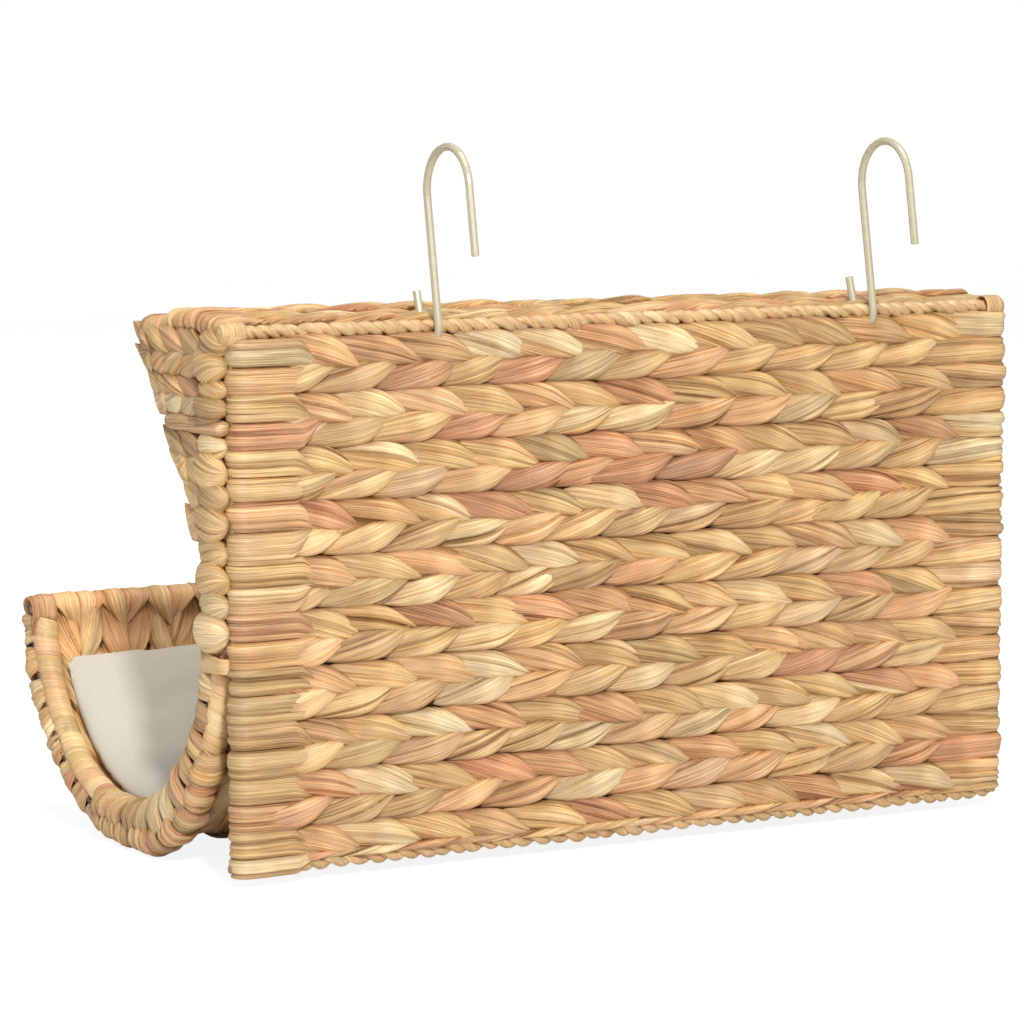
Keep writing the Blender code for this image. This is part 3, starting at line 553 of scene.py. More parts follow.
woven = leaf_material("woven hyacinth")
panel_rng = np.random.default_rng(11)
for index in range(math.ceil(PANEL_ROWS)):
    half_row = index + 1 > PANEL_ROWS
    middle = PANEL_TOP + PANEL_LIFT - (PANEL_ROWS if half_row else index + 0.5) * ROW_PITCH
    lower = 0.3 if half_row else 1.0
    ends = [(POST_X - LEFT_ROOM, PANEL_MIDDLE_Y, middle), (-POST_X - RIGHT_REACH, PANEL_MIDDLE_Y, middle)]
    place, length = lay_along(ends, (0, 0, 1), (0, 1, 0), PANEL_WRAP, PANEL_WRAP)
    half_pitch = ROW_PITCH / 2
    room = {"half_pitch": half_pitch, "rng": panel_rng, "lower": lower}
    last_tip = length - LAST_TIP_ROOM
    leaves = [core_strip(PANEL_CORE_START, length - CORE_ROOM, half_pitch, lower)]
    leaves += braid_leaves(FIRST_TIP, last_tip, detail=FINE, run_on=(length, PANEL_WRAP, 1.0), **room)
    foot = {**room, "lower": FOOT_SHARE if half_row else 1.0}
    bands = end_bands(0, 1, detail=FINE, run=BAND_TIP, wrap=PANEL_WRAP, **foot)
    leaves += toned(bands, BAND_TONE, math.inf)
    behind = braid_leaves(FIRST_TIP - BACK_ADVANCE, last_tip, detail=COARSE, **room)
    leaves = placed(leaves, place, length / 2) + placed(behind, place, length / 2, -1.0)
    braid = weave_piece(f"panel_braid_{index + 1}", leaves, woven)
    if index == 0:
        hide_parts("rear_panel")


# Ropes wound round the two rear edge rods: two round strands twisted together, satin straw. The upper one
# carries the hooks, and the lower one stops at the corner of bands at the left end.
ROPE_ORBIT = 0.0017
ROPE_STRAND = 0.0024
TOP_ROPE_LAY = 0.0150
BOTTOM_ROPE_LAY = 0.0190
ROPE_LEFT = 0.2205
ROPE_RIGHT = -0.2285
ROPE_BEYOND = 0.002
ROPE_TONE = 0.84


def swept_strand(centers, normals, half_width, half_depth, tints, rng, detail, plump=2.2):
    """A strand along centre points, its flat face turned to the normals; tints has a colour a ring."""
    across, height, top = section(detail, plump)
    tangents = np.gradient(centers, axis=0)
    tangents = tangents / np.linalg.norm(tangents, axis=1, keepdims=True)
    normals = normals - (normals * tangents).sum(1, keepdims=True) * tangents
    normals = normals / np.linalg.norm(normals, axis=1, keepdims=True)
    sides = np.cross(normals, tangents)
    spread = across[None, :] * half_width[:, None]
    ridges = 0.00006 * np.sin(2 * math.pi * spread / 0.0016 + rng.uniform(0, 6)) * top[None, :]
    lift = height[None, :] * half_depth[:, None] + ridges
    offset = spread[:, :, None] * sides[:, None, :]
    corners = centers[:, None, :] + offset + lift[:, :, None] * normals[:, None, :]
    color = np.broadcast_to(tints[:, None, :], corners.shape).copy()
    run = np.concatenate([[0], np.cumsum(np.linalg.norm(np.diff(centers, axis=0), axis=1))])
    grain = np.stack([run[:, None] + 0 * spread + rng.uniform(0, 9), spread + rng.uniform(0, 9)], axis=-1)
    return corners, grain, color


def changing_tints(rng, steps, lengths, calm=0.0):
    """Colours along a strand that change where one leaf of it ends and the next begins."""
    tints = np.empty((steps, 3))
    start = 0
    while start < steps:
        end = start + int(rng.uniform(*lengths)) + 1
        tints[start:end] = pick_tints(rng, 1)[0] * (1 - calm) + STRAW * calm
        start = end
    return tints


def twisted_rope(start, end, lay, rng, orbit=ROPE_ORBIT, radius=ROPE_STRAND, strands=2):
    """Round strands twisted together along the first axis of flat space."""
    steps = int((end - start) / lay * 20)
    along = np.linspace(start, end, steps)
    taper = smooth_step((along - start) / 0.006 + 0.25) * smooth_step((end - along) / 0.006 + 0.25)
    result = []
    for strand in range(strands):
        turn = 2 * math.pi * ((along - start) / lay + strand / strands) + 0.6 * np.sin(along * 61 + strand)
        swell = 1 + 0.15 * np.interp(along, np.linspace(start, end, 70), rng.normal(0, 1, 70))
        outward = np.column_stack([0 * turn, np.cos(turn), np.sin(turn)])
        centers = outward * orbit
        centers[:, 0] = along
        tints = changing_tints(rng, steps, (18, 60), 0.6) * ROPE_TONE
        size = radius * swell * (0.4 + 0.6 * taper)
        result.append(swept_strand(centers, outward, size, size, tints, rng, (0, 8, 6)))
    return result


wound = leaf_material("wound hyacinth", roughness=0.34, streak=0.15)
rope_rng = np.random.default_rng(23)
for name, x_left, lay in (
    ("top_rear_rope", ROPE_LEFT, TOP_ROPE_LAY),
    ("bottom_rear_rope", bottom_rope_high.x + ROPE_BEYOND, BOTTOM_ROPE_LAY),
):
    rope_low, rope_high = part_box(name)
    rope_y = (rope_low.y + rope_high.y) / 2
    rope_z = (rope_low.z + rope_high.z) / 2
    ends = [(x_left, rope_y, rope_z), (ROPE_RIGHT, rope_y, rope_z)]
    place, length = lay_along(ends, (0, 0, 1), (0, 1, 0))
    rope = twisted_rope(0, length, lay, rope_rng)
    piece = weave_piece(name + "_strands", placed(rope, place, length / 2), wound)
    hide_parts(name)


# Top shelf: three braids along the bed between the backrest's rolled edge and the upper rope, gently
# crowned. Their ends pass round the short shelf rods.
SHELF_BRAIDS = 3
SHELF_CROWN = 0.005
SHELF_WRAP = 0.0052
SHELF_FLAT = 0.80
SHELF_LEFT_RISE = 0.0022
SHELF_REAR_DEPTH = 0.0118
SHELF_DROPS = (0.0, 0.0006, 0.0022)
# Shelf leaves a little lighter: painted light on the shelf's top.
SHELF_LIT_TONE = 1.04
SHELF_NOSE_ROOM = 0.001
SHELF_FIRST_TIP = 0.058
SHELF_UNDER_TIP = 0.045
SHELF_LAST_ROOM = 0.014
SHELF_BAND = 0.030
SHELF_CORE_LEVEL = 0.0024
CORNER_BAND_DEPTH = 0.0014
CORNER_PROFILE = (
    (0.2285, 0.0030),
    (0.2262, 0.0048),
    (0.2200, 0.0051),
    (0.2186, 0.0053),
    (0.2182, 0.0056),
    (0.2188, 0.0060),
    (0.2215, 0.0061),
    (0.2250, 0.0061),
    (0.2282, 0.0058),
    (0.2300, 0.0047),
    (0.2308, 0.0027),
    (0.2310, 0.0006),
)

nose_low, nose_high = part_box("top_front_rod")
top_rod_low, top_rod_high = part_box("top_rear_rod")
shelf_rod_low, shelf_rod_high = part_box("shelf_rod_left")
NOSE_DEPTH = BACK_Y - (nose_low.y + nose_high.y) / 2
NOSE_Z = (nose_low.z + nose_high.z) / 2
REAR_ROD_DEPTH = BACK_Y - (top_rod_low.y + top_rod_high.y) / 2
REAR_ROD_Z = (top_rod_low.z + top_rod_high.z) / 2
SHELF_ROD_X = (shelf_rod_low.x + shelf_rod_high.x) / 2


def shelf_height(depth):
    share = (NOSE_DEPTH - depth) / (NOSE_DEPTH - REAR_ROD_DEPTH)
    return NOSE_Z + (REAR_ROD_Z - NOSE_Z) * share + 4 * SHELF_CROWN * share * (1 - share)


def corner_wrap(edge, inward, half_width, rng, detail, run, wrap, behind, flat):
    """One flat band round a rod's end, beside the last braid."""
    steps = 40
    turn = math.pi * wrap
    distance = np.linspace(run, -turn - behind, steps)
    tip = smooth_step((run - distance) / 0.010)
    width = half_width * (0.75 + 0.25 * tip)
    level = (wrap * flat) * (0.35 + 0.65 * tip) * (1 - 0.3 * smooth_step((-distance - turn) / behind))
    depth = CORNER_BAND_DEPTH * (0.4 + 0.6 * tip)
    tint = pick_tints(rng, 2)[0]
    return leaf_surface(
        (edge + inward * distance)[::-inward], -width, width, level[::-inward], depth[::-inward],
        0.0, rng, tint, tint * 0.95, detail, plump=3.2, relief=0.35, folds=3,
    )


shelf_rng = np.random.default_rng(31)
shelf_pitch = (NOSE_DEPTH + SHELF_NOSE_ROOM - SHELF_REAR_DEPTH) / SHELF_BRAIDS
for index in range(SHELF_BRAIDS):
    depth = NOSE_DEPTH + SHELF_NOSE_ROOM - (index + 0.5) * shelf_pitch
    rise = shelf_height(depth + 0.001) - shelf_height(depth - 0.001)
    across = Vector((0, -0.002, rise)).normalized()
    upward = Vector((0, rise, 0.002)).normalized()
    height = shelf_height(depth) - SHELF_DROPS[index]
    ends = [(SHELF_ROD_X - LEFT_ROOM, BACK_Y - depth, height + SHELF_LEFT_RISE),
            (-SHELF_ROD_X - RIGHT_REACH, BACK_Y - depth, height)]
    place, length = lay_along(ends, across, upward, SHELF_WRAP, SHELF_WRAP)
    room = {"half_pitch": shelf_pitch / 2, "rng": shelf_rng, "flat": SHELF_FLAT}
    last_tip = length - SHELF_LAST_ROOM
    # Darker straw for the shelf's inner stems: painted shade in its gaps.
    core_tint = STRAW * 0.75
    core_end = length - CORE_ROOM
    leaves = [core_strip(CORE_ROOM, core_end, shelf_pitch / 2, level=SHELF_CORE_LEVEL, tint=core_tint)]
    run_on = (length, SHELF_WRAP, SHELF_FLAT)
    leaves += braid_leaves(SHELF_FIRST_TIP, last_tip, detail=FINE, run_on=run_on, relief=0.7, **room)
    leaves += end_bands(0, 1, detail=FINE, run=SHELF_BAND, wrap=SHELF_WRAP, relief=0.4, **room)
    # Lighter shelf leaves: painted light on its top.
    leaves = toned(leaves, SHELF_LIT_TONE)
    under = braid_leaves(SHELF_UNDER_TIP, last_tip, detail=COARSE, **room)
    leaves = placed(leaves, place, length / 2) + placed(under, place, length / 2, -1.0)
    braid = weave_piece(f"shelf_braid_{index + 1}", leaves, woven)
    if index == 0:
        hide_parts("top_shelf")
for side, side_word in ((1, "left"), (-1, "right")):
    profile = np.array(CORNER_PROFILE)
    profile[:, 0] -= 0.0 if side > 0 else RIGHT_REACH * 0.5
    turn = np.linspace(0, 2 * math.pi, 32, endpoint=False)
    x = side * np.abs(profile[:, 0])[:, None] - (side < 0) * 0.0015 + 0 * turn
    radius = profile[:, 1][:, None] * (1 + 0.05 * np.sin(turn + 0.8))
    y = BACK_Y - REAR_ROD_DEPTH + radius * np.cos(turn) * side
    corners = np.stack([x, y, REAR_ROD_Z - 0.0002 + radius * np.sin(turn)], axis=-1)
    run = np.concatenate([[0], np.cumsum(np.linalg.norm(np.diff(profile, axis=0), axis=1))])
    grain = np.stack([0.006 * turn + 0 * x, run[:, None] + 0 * x], axis=-1)
    color = (pick_tints(shelf_rng, 1)[0] * 0.4 + STRAW * 0.55) + 0 * x[..., None]
    weave_piece(f"shelf_corner_{side_word}", [(corners, grain, color)], woven)


# Sling: sixteen braids lie side by side between the two end rims. Each starts with bands round the lip rod,
# runs down round the U and up the backrest, and ends round the shelf's front rod.
SLING_BRAIDS = 16
SLING_HALF = 0.2147
SLING_FLAT = 0.86
LIP_WRAP = 0.0064
NOSE_WRAP = 0.0060
SLING_BACK_DEPTH = 0.0218
SLING_FLOOR = 0.0065
SLING_CORE_ROOM = 0.008
SLING_FIRST_TIP = 0.044
SLING_OUTER_TIP = 0.046
SLING_LAST_ROOM = 0.010
LIP_BAND = 0.0135
LIP_POINT = 0.0145
LIP_BAND_RISE = 0.0026
NOSE_BAND = 0.026
NOSE_BAND_RISE = 0.0012
ROLLED_FRONT = 0.024
ROLLED_BACK = 0.026
ROLLED_TIP = 0.014
ROLLED_DEPTH = 0.0017
SLING_LINE_SHARES = (
    (1.000, 0.390),
    (0.975, 0.275),
    (0.865, 0.135),
    (0.680, 0.026),
    (0.465, 0.000),
    (0.265, 0.034),
    (0.110, 0.160),
    (0.022, 0.355),
    (0.000, 0.490),
    (0.055, 0.690),
    (0.180, 0.845),
    (0.308, 1.000),
)

lip_low, lip_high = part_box("lip_rod")
LIP_DEPTH = BACK_Y - (lip_low.y + lip_high.y) / 2
LIP_Z = (lip_low.z + lip_high.z) / 2


def smooth_line(places):
    """A smooth line through (depth, height) places, as many short steps."""
    data = bpy.data.curves.new("sling line", "CURVE")
    data.dimensions = "3D"
    data.resolution_u = 16
    spline = data.splines.new("BEZIER")
    spline.bezier_points.add(len(places) - 1)
    for point, spot in zip(spline.bezier_points, places):
        point.co = (*spot, 0)
        point.handle_left_type = "AUTO"
        point.handle_right_type = "AUTO"
    curve = bpy.data.objects.new("sling line", data)
    scene.collection.objects.link(curve)
    bpy.context.view_layer.update()
    mesh = bpy.data.meshes.new_from_object(curve.evaluated_get(bpy.context.evaluated_depsgraph_get()))
    fine = np.array([vertex.co[:2] for vertex in mesh.vertices])
    bpy.data.objects.remove(curve, do_unlink=True)
    bpy.data.curves.remove(data)
    bpy.data.meshes.remove(mesh)
    return fine


sling_reach = LIP_DEPTH - SLING_BACK_DEPTH
sling_rise = NOSE_Z - SLING_FLOOR
sling_places = [
    (SLING_BACK_DEPTH + out * sling_reach, SLING_FLOOR + up * sling_rise) for out, up in SLING_LINE_SHARES
]
sling_places[0] = (LIP_DEPTH, LIP_Z)
sling_places[-1] = (NOSE_DEPTH, NOSE_Z)
sling_line = smooth_line(sling_places)
sling_marks = np.concatenate([[0], np.cumsum(np.linalg.norm(np.diff(sling_line, axis=0), axis=1))])
SLING_LENGTH = sling_marks[-1]
sling_runs = np.gradient(sling_line, axis=0)
sling_runs /= np.linalg.norm(sling_runs, axis=1, keepdims=True)
sling_inward = np.column_stack([0 * sling_marks, -sling_runs[:, 1], -sling_runs[:, 0]])


def sling_points(x):
    """The sling's middle line at one place along the bed."""
    return np.column_stack([x + 0 * sling_marks, BACK_Y - sling_line[:, 0], sling_line[:, 1]])


sling_rng = np.random.default_rng(47)
sling_pitch = 2 * SLING_HALF / SLING_BRAIDS
for index in range(SLING_BRAIDS):
    x = SLING_HALF - (index + 0.5) * sling_pitch
    place, length = lay_along(sling_points(x), (1, 0, 0), sling_inward, LIP_WRAP, NOSE_WRAP)
    room = {"half_pitch": sling_pitch / 2, "rng": sling_rng, "flat": SLING_FLAT, "detail": MIDDLING}
    last_tip = length - SLING_LAST_ROOM
    leaves = [core_strip(SLING_CORE_ROOM, length - SLING_CORE_ROOM, sling_pitch / 2, flat=SLING_FLAT)]
    leaves += braid_leaves(SLING_FIRST_TIP, last_tip, **room)
    leaves += end_bands(0, 1, run=LIP_BAND, wrap=LIP_WRAP + LIP_BAND_RISE, point_length=LIP_POINT, plump=7.0,
                        crown=0.0, relief=0.3, thick=0.6, bulge=1.05, calm=0.55, **room)
    leaves += end_bands(length, -1, run=NOSE_BAND, wrap=NOSE_WRAP + NOSE_BAND_RISE, pointed=False, **room)
    leaves = toned(leaves, LIT_TONE)
    outer = braid_leaves(SLING_OUTER_TIP, last_tip, **room)
    leaves = placed(leaves, place, length / 2) + placed(outer, place, length / 2, -1.0)
    braid = weave_piece(f"sling_braid_{index + 1}", leaves, woven)
    if index == 0:
        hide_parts("sling")
for side, side_word in ((1, "left"), (-1, "right")):
    middle = side * (SLING_HALF + WEAVE_HALF) / 2
    half_width = (WEAVE_HALF - SLING_HALF) / 2 + 0.0004
    place, length = lay_along(sling_points(middle), (1, 0, 0), sling_inward, LIP_WRAP, NOSE_WRAP)
    corner = [corner_wrap(0, 1, half_width, sling_rng, FINE, 0.013, LIP_WRAP, 0.004, 1.0)]
    leaves = placed(corner, place, length / 2)
    nose_x = side * SHELF_ROD_X - (LEFT_ROOM if side > 0 else RIGHT_REACH)
    nose_end = (nose_x, BACK_Y - NOSE_DEPTH - 0.0006, NOSE_Z + SHELF_LEFT_RISE * (side > 0))
    ends = [nose_end, (nose_x - side * 0.1, *nose_end[1:])]
    place, length = lay_along(ends, (0, -1, 0), (0, 0, 1), NOSE_WRAP)
    distance = np.linspace(ROLLED_FRONT, -ROLLED_BACK, 40)
    tip = smooth_step((ROLLED_FRONT - distance) / ROLLED_TIP)
    narrow = (0.4 + 0.6 * tip)[::-1]
    level = NOSE_WRAP * (0.5 + 0.5 * tip)[::-1]
    for low, high in ((-0.0085, 0.0002), (-0.0002, 0.0078)):
        tint = pick_tints(sling_rng, 2)[0]
        leaves += placed([leaf_surface(
            distance[::-1], low * narrow, high * narrow, level, ROLLED_DEPTH * narrow, 0.0, sling_rng,
            tint, tint * 0.94, FINE, plump=3.0, relief=0.8, folds=4,
        )], place, length / 2)
    weave_piece(f"rolled_corner_{side_word}", leaves, woven)


# End rims of the sling: at each end a flat strand is wound closely round the bent side rod, and the ends of
# the sheet's leaves are folded over beside it in short lobes. The two change sides under the U.
RIM_RADIUS = 0.0053
RIM_LAY = 0.0102
RIM_SHIFT = 0.0034
RIM_STRAND_DEPTH = 0.0011
RIM_LIP_ROOM = 0.0060
LOBE_PITCH = 0.0086
SWAP_START = 0.31
SWAP_END = 0.47
LOBE_PATH = ((-0.0045, 0.0040), (-0.0010, 0.0066), (0.0045, 0.0078), (0.0080, 0.0056), (0.0092, 0.0015),
             (0.0088, -0.0035), (0.0070, -0.0065))
LOBE_WIDTHS = (0.0032, 0.0044, 0.0053, 0.0052, 0.0036)
LOBE_LEVELS = (-0.0012, 0.0004, 0.0006, -0.0006)
LOBE_DEPTHS = (0.0009, 0.0014, 0.0014, 0.0009)

side_rod_low, side_rod_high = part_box("side_rod_left")
SIDE_ROD_X = (side_rod_low.x + side_rod_high.x) / 2
binding_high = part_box("side_binding_left")[1]
bottom_mark = int(np.argmin(sling_line[:, 1]))
RIM_START = float(np.interp(-(LIP_Z - RIM_LIP_ROOM), -sling_line[:bottom_mark, 1], sling_marks[:bottom_mark]))
RIM_END = float(np.interp(binding_high.z, sling_line[bottom_mark:, 1], sling_marks[bottom_mark:]))


def wound_strand(start, end, rng):
    """A flat strand wound round and round, its axis moving to the other side of the sheet at the swap."""
    steps = int((end - start) / RIM_LAY * 22)
    along = np.linspace(start, end, steps)
    turn = 2 * math.pi * (along - start) / RIM_LAY
    share = (along / SLING_LENGTH - SWAP_START) / (SWAP_END - SWAP_START)
    dip = np.exp(-(((along / SLING_LENGTH - 0.32) / 0.09) ** 2))
    shift = RIM_SHIFT * (-1 - 1.3 * dip + 1.4 * smooth_step(share))
    swell = 1 + 0.05 * np.interp(along, np.linspace(start, end, 50), rng.normal(0, 1, 50))
    outward = np.column_stack([0 * turn, np.cos(turn), np.sin(turn)])
    centers = outward * (RIM_RADIUS * swell)[:, None]
    centers[:, 0] = along
    centers[:, 1] += shift
    tints = changing_tints(rng, steps, (14, 30))
    width = np.full(steps, 0.53 * RIM_LAY)
    depth = np.full(steps, RIM_STRAND_DEPTH)
    return [swept_strand(centers, outward, width, depth, tints, rng, (0, 9, 3), plump=3.0)]


def folded_lobe(mark, number, direction, rng):
    """A leaf's end folded over the rim's edge; direction is 1 on the outer side and -1 on the cat's side."""
    bottom = math.exp(-(((mark / SLING_LENGTH - 0.45) / 0.12) ** 2))
    stretch = 1 + (0.85 if direction < 0 else 0.15) * bottom
    path = np.array([(mark, direction * across * stretch, out) for across, out in LOBE_PATH])
    fine = np.linspace(0, 1, 24)
    knots = np.linspace(0, 1, len(path))
    path = np.column_stack([np.interp(fine, knots, path[:, axis]) for axis in range(3)])
    runs = np.gradient(path, axis=0)
    normals = np.column_stack([0 * fine, -runs[:, 2] * direction, runs[:, 1] * direction])
    place_path, length = lay_along(path, (1, 0, 0), normals)
    steps = 16
    share = np.linspace(0, 1, steps)
    pair = 1 if number % 2 else -1
    drift = -pair * 0.0017 * (1 - share) + 0.0030 * (share - 0.4) + rng.normal(0, 0.0003)
    width = np.interp(share, (0, 0.2, 0.45, 0.8, 1), LOBE_WIDTHS)
    width = width * rng.uniform(0.92, 1.06)
    level = np.interp(share, (0, 0.3, 0.7, 1), LOBE_LEVELS) + rng.normal(0, 0.0003)
    depth = np.interp(share, (0, 0.3, 0.8, 1), LOBE_DEPTHS)
    tint, second = pick_tints(rng, 2)
    leaf = leaf_surface(
        share * length, drift - width, drift + width, level, depth, 0.15, rng, tint,
        second if rng.uniform() < 0.4 else tint * 0.93, (steps, 12, 4), plump=2.3, relief=0.7, folds=3,
    )
    return placed([leaf], place_path, length / 2)[0]


rim_rng = np.random.default_rng(59)
for side, side_word in ((1, "left"), (-1, "right")):
    points = sling_points(side * SIDE_ROD_X)
    place, length = lay_along(points, -sling_inward, (side, 0, 0))
    strand = wound_strand(RIM_START, RIM_END, rim_rng)
    rim = weave_piece(
        f"side_binding_{side_word}_strand", placed(strand, place, length / 2), wound
    )
    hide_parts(f"side_binding_{side_word}")
    lobes = []
    for direction, start, end in ((1, RIM_START, 0.56 * length), (-1, 0.27 * length, 0.80 * length)):
        for number, mark in enumerate(np.arange(start, end, LOBE_PITCH)):
            lobes.append(folded_lobe(mark, number, direction, rim_rng))
    lobes = placed(lobes, place, length / 2)
    place, length = lay_along(sling_points(side * (SLING_HALF + 0.004)), (1, 0, 0), sling_inward)
    core = core_strip(SLING_CORE_ROOM, length - SLING_CORE_ROOM, LOBE_PITCH)
    lobes += placed([core], place, length / 2)
    weave_piece(f"rim_lobes_{side_word}", lobes, woven)


# End gussets: short level braids close each end between the backrest and the rear panel. Their leaves
# flare at the backrest's edge and end in knobs beside the panel.
GUSSET_EDGES = (-0.0040, 0.0186, 0.0376, 0.0448, 0.0690, 0.0962, 0.1222, 0.1480)
GUSSET_OVERLAP = 1.02
GUSSET_STRAND = 2
GUSSET_STRAND_TINT = np.array([0.80, 0.53, 0.29])
GUSSET_PITCH = 0.0205
GUSSET_LEAF = 0.042
GUSSET_FLAT = 0.80
GUSSET_X = 0.2250
GUSSET_FLARE = 0.0092
GUSSET_REAR_ROOM = 0.0150
GUSSET_CORE = (0.004, 0.0100, -0.0006)
GUSSET_FIRST_TIP = 0.010
GUSSET_LAST_ROOM = 0.0068
STRAND_START = 0.003
STRAND_BEYOND = 0.0050
STRAND_LEVEL = 0.0026
STRAND_DEPTH = 0.0032
FLARE_OUTER = (1.08, 1.10, 1.10, 1.08, 1.04, 0.92, 0.66, 0.32, -0.06)
FLARE_INNER = (-0.16, -0.14, -0.12, -0.10, -0.12, -0.13, -0.15, -0.16, -0.17)
FLARE_RISE = (0.0046, 0.0042, 0.0034, 0.0034, 0.0040, 0.0043, 0.0036, 0.0024, 0.0006)
FLARE_DEPTH = (0.0011, 0.0015, 0.0022, 0.0032, 0.0033, 0.0029, 0.0022, 0.0015, 0.0007)
KNOB_REACH = 0.0085
KNOB_DETAIL = (26, 30, 5)
KNOBS = ((0.52, 0.60, 0.0245, 0.0034, 0.0046), (-0.40, 0.74, 0.0300, 0.0046, 0.0056))


def gusset_leaf(tip, reach, half, half_pitch, flared, rng):
    """One leaf of a gusset's braid; a flared one opens out at the backrest's edge."""
    tables = (FLARE_OUTER, FLARE_INNER, FLARE_RISE, FLARE_DEPTH)
    if not flared:
        tables = (LEAF_OUTER, LEAF_INNER, LEAF_RISE, LEAF_DEPTH)
    outer, inner, rise, depth = (leaf_table(table, FINE[0]) for table in tables)
    share = np.linspace(0, 1, FINE[0])
    along = tip + rng.normal(0, 0.0008) + (share - 1) * reach
    low = inner * half_pitch
    high = outer * half_pitch * rng.uniform(0.97, 1.04)
    slope = -FIBRE_SLOPE * rng.uniform(0.8, 1.8)
    if half < 0:
        low, high, slope = -high, -low, -slope
    tint, second = pick_tints(rng, 2)
    return leaf_surface(
        along, low, high, rise * GUSSET_FLAT, depth * GUSSET_FLAT * 1.25, slope, rng, tint,
        second if rng.uniform() < 0.3 else tint * 0.93, FINE, plump=2.1, relief=0.45 if flared else 0.6,
        folds=rng.integers(2, 4),
    )


gusset_rng = np.random.default_rng(67)
back_wall = sling_line[bottom_mark:]
gusset_rear = BACK_Y - GUSSET_REAR_ROOM
for side, side_word in ((1, "left"), (-1, "right")):
    gusset_leaves = []
    for row, (above, below) in enumerate(zip(GUSSET_EDGES, GUSSET_EDGES[1:])):
        half_pitch = (below - above) / 2 * GUSSET_OVERLAP
        height = PANEL_TOP - (above + below) / 2
        front = BACK_Y - float(np.interp(height, back_wall[:, 1], back_wall[:, 0])) - GUSSET_FLARE
        depths = np.interp((height - 0.004, height + 0.004), back_wall[:, 1], back_wall[:, 0])
        tilt = (depths[1] - depths[0]) / 0.008
        ends = [(side * GUSSET_X, front, height), (side * GUSSET_X, gusset_rear, height)]
        place, length = lay_along(ends, (0, 0, 1), (side, 0, 0))
        core_start, core_beyond, core_level = GUSSET_CORE
        row_leaves = [core_strip(
            core_start, length + core_beyond, half_pitch * 1.05, level=core_level, tint=SHADED_TINT,
        )]
        if row == GUSSET_STRAND:
            share = np.linspace(0, 1, 40)
            width = half_pitch * np.interp(share, (0, 0.1, 0.9, 1), (0.9, 1.25, 1.15, 0.9))
            tint = GUSSET_STRAND_TINT
            row_leaves.append(leaf_surface(
                STRAND_START + share * (length + STRAND_BEYOND), -width, width, STRAND_LEVEL + 0 * share,
                STRAND_DEPTH + 0 * share, 0.06, gusset_rng, tint, tint * 0.9, FINE, plump=2.1, relief=0.7,
                folds=3,
            ))
            gusset_leaves += placed(row_leaves, place, length / 2)
            continue
        last_tip = length - GUSSET_LAST_ROOM
        tips = [last_tip] if last_tip > 0.014 else []
        while tips and tips[-1] - GUSSET_PITCH > GUSSET_FIRST_TIP:
            tips.append(tips[-1] - GUSSET_PITCH)
        tips.reverse()
        for half in (1, -1):
            for number, tip in enumerate(tips):
                flared = number == 0
                reach = tip + gusset_rng.uniform(0.0, 0.004) if flared else min(GUSSET_LEAF, tip)
                lag = -0.004 if half < 0 else 0.0
                row_leaves.append(gusset_leaf(tip + lag, reach, half, half_pitch, flared, gusset_rng))
        for knob_middle, knob_half, knob_length, level, depth in KNOBS:
            share = np.linspace(0, 1, KNOB_DETAIL[0])
            swell = np.clip(1 - np.abs(2 * share - 1) ** 2.6, 0.02, 1) ** 0.5
            along = length + KNOB_REACH + gusset_rng.normal(0, 0.0006) - (1 - share) * knob_length
            knob_middle = (knob_middle + gusset_rng.normal(0, 0.03)) * half_pitch
            knob_half = knob_half * half_pitch * gusset_rng.uniform(0.94, 1.06)
            tint = pick_tints(gusset_rng, 1)[0]
            row_leaves.append(leaf_surface(
                along, knob_middle - knob_half * swell, knob_middle + knob_half * swell,
                level * (0.4 + 0.6 * swell), depth * swell, gusset_rng.uniform(-0.4, 0.4), gusset_rng, tint,
                tint * 0.93, KNOB_DETAIL, plump=2.0, relief=0.6, folds=3,
            ))
        for corners, _, _ in row_leaves:
            share = np.clip(1 - corners[..., 0] / max(length, 0.01), 0, 1.2)
            corners[..., 0] -= tilt * corners[..., 1] * share
        gusset_leaves += placed(row_leaves, place, length / 2)
        if tips:
            inner_face = braid_leaves(
                last_tip - 0.001, last_tip, half_pitch, gusset_rng, COARSE, pitch=GUSSET_PITCH,
                length=min(GUSSET_LEAF, last_tip), flat=GUSSET_FLAT,
            )
            gusset_leaves += placed(inner_face, place, length / 2, -1.0)
    gusset = weave_piece(f"gusset_{side_word}_braids", gusset_leaves, woven)
    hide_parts(f"gusset_{side_word}")


# Lashings: one flat strand at each end ties the sling's back to the edge of the rear panel. It passes
# through slits between the braids and round both end rods.
LASHING_HALF_WIDTH = 0.0042
LASHING_DEPTH = 0.0010
LASHING_CORNER = 0.004
LASHING_STEPS = 70
LASHING_REAR_ROOM = 0.0090

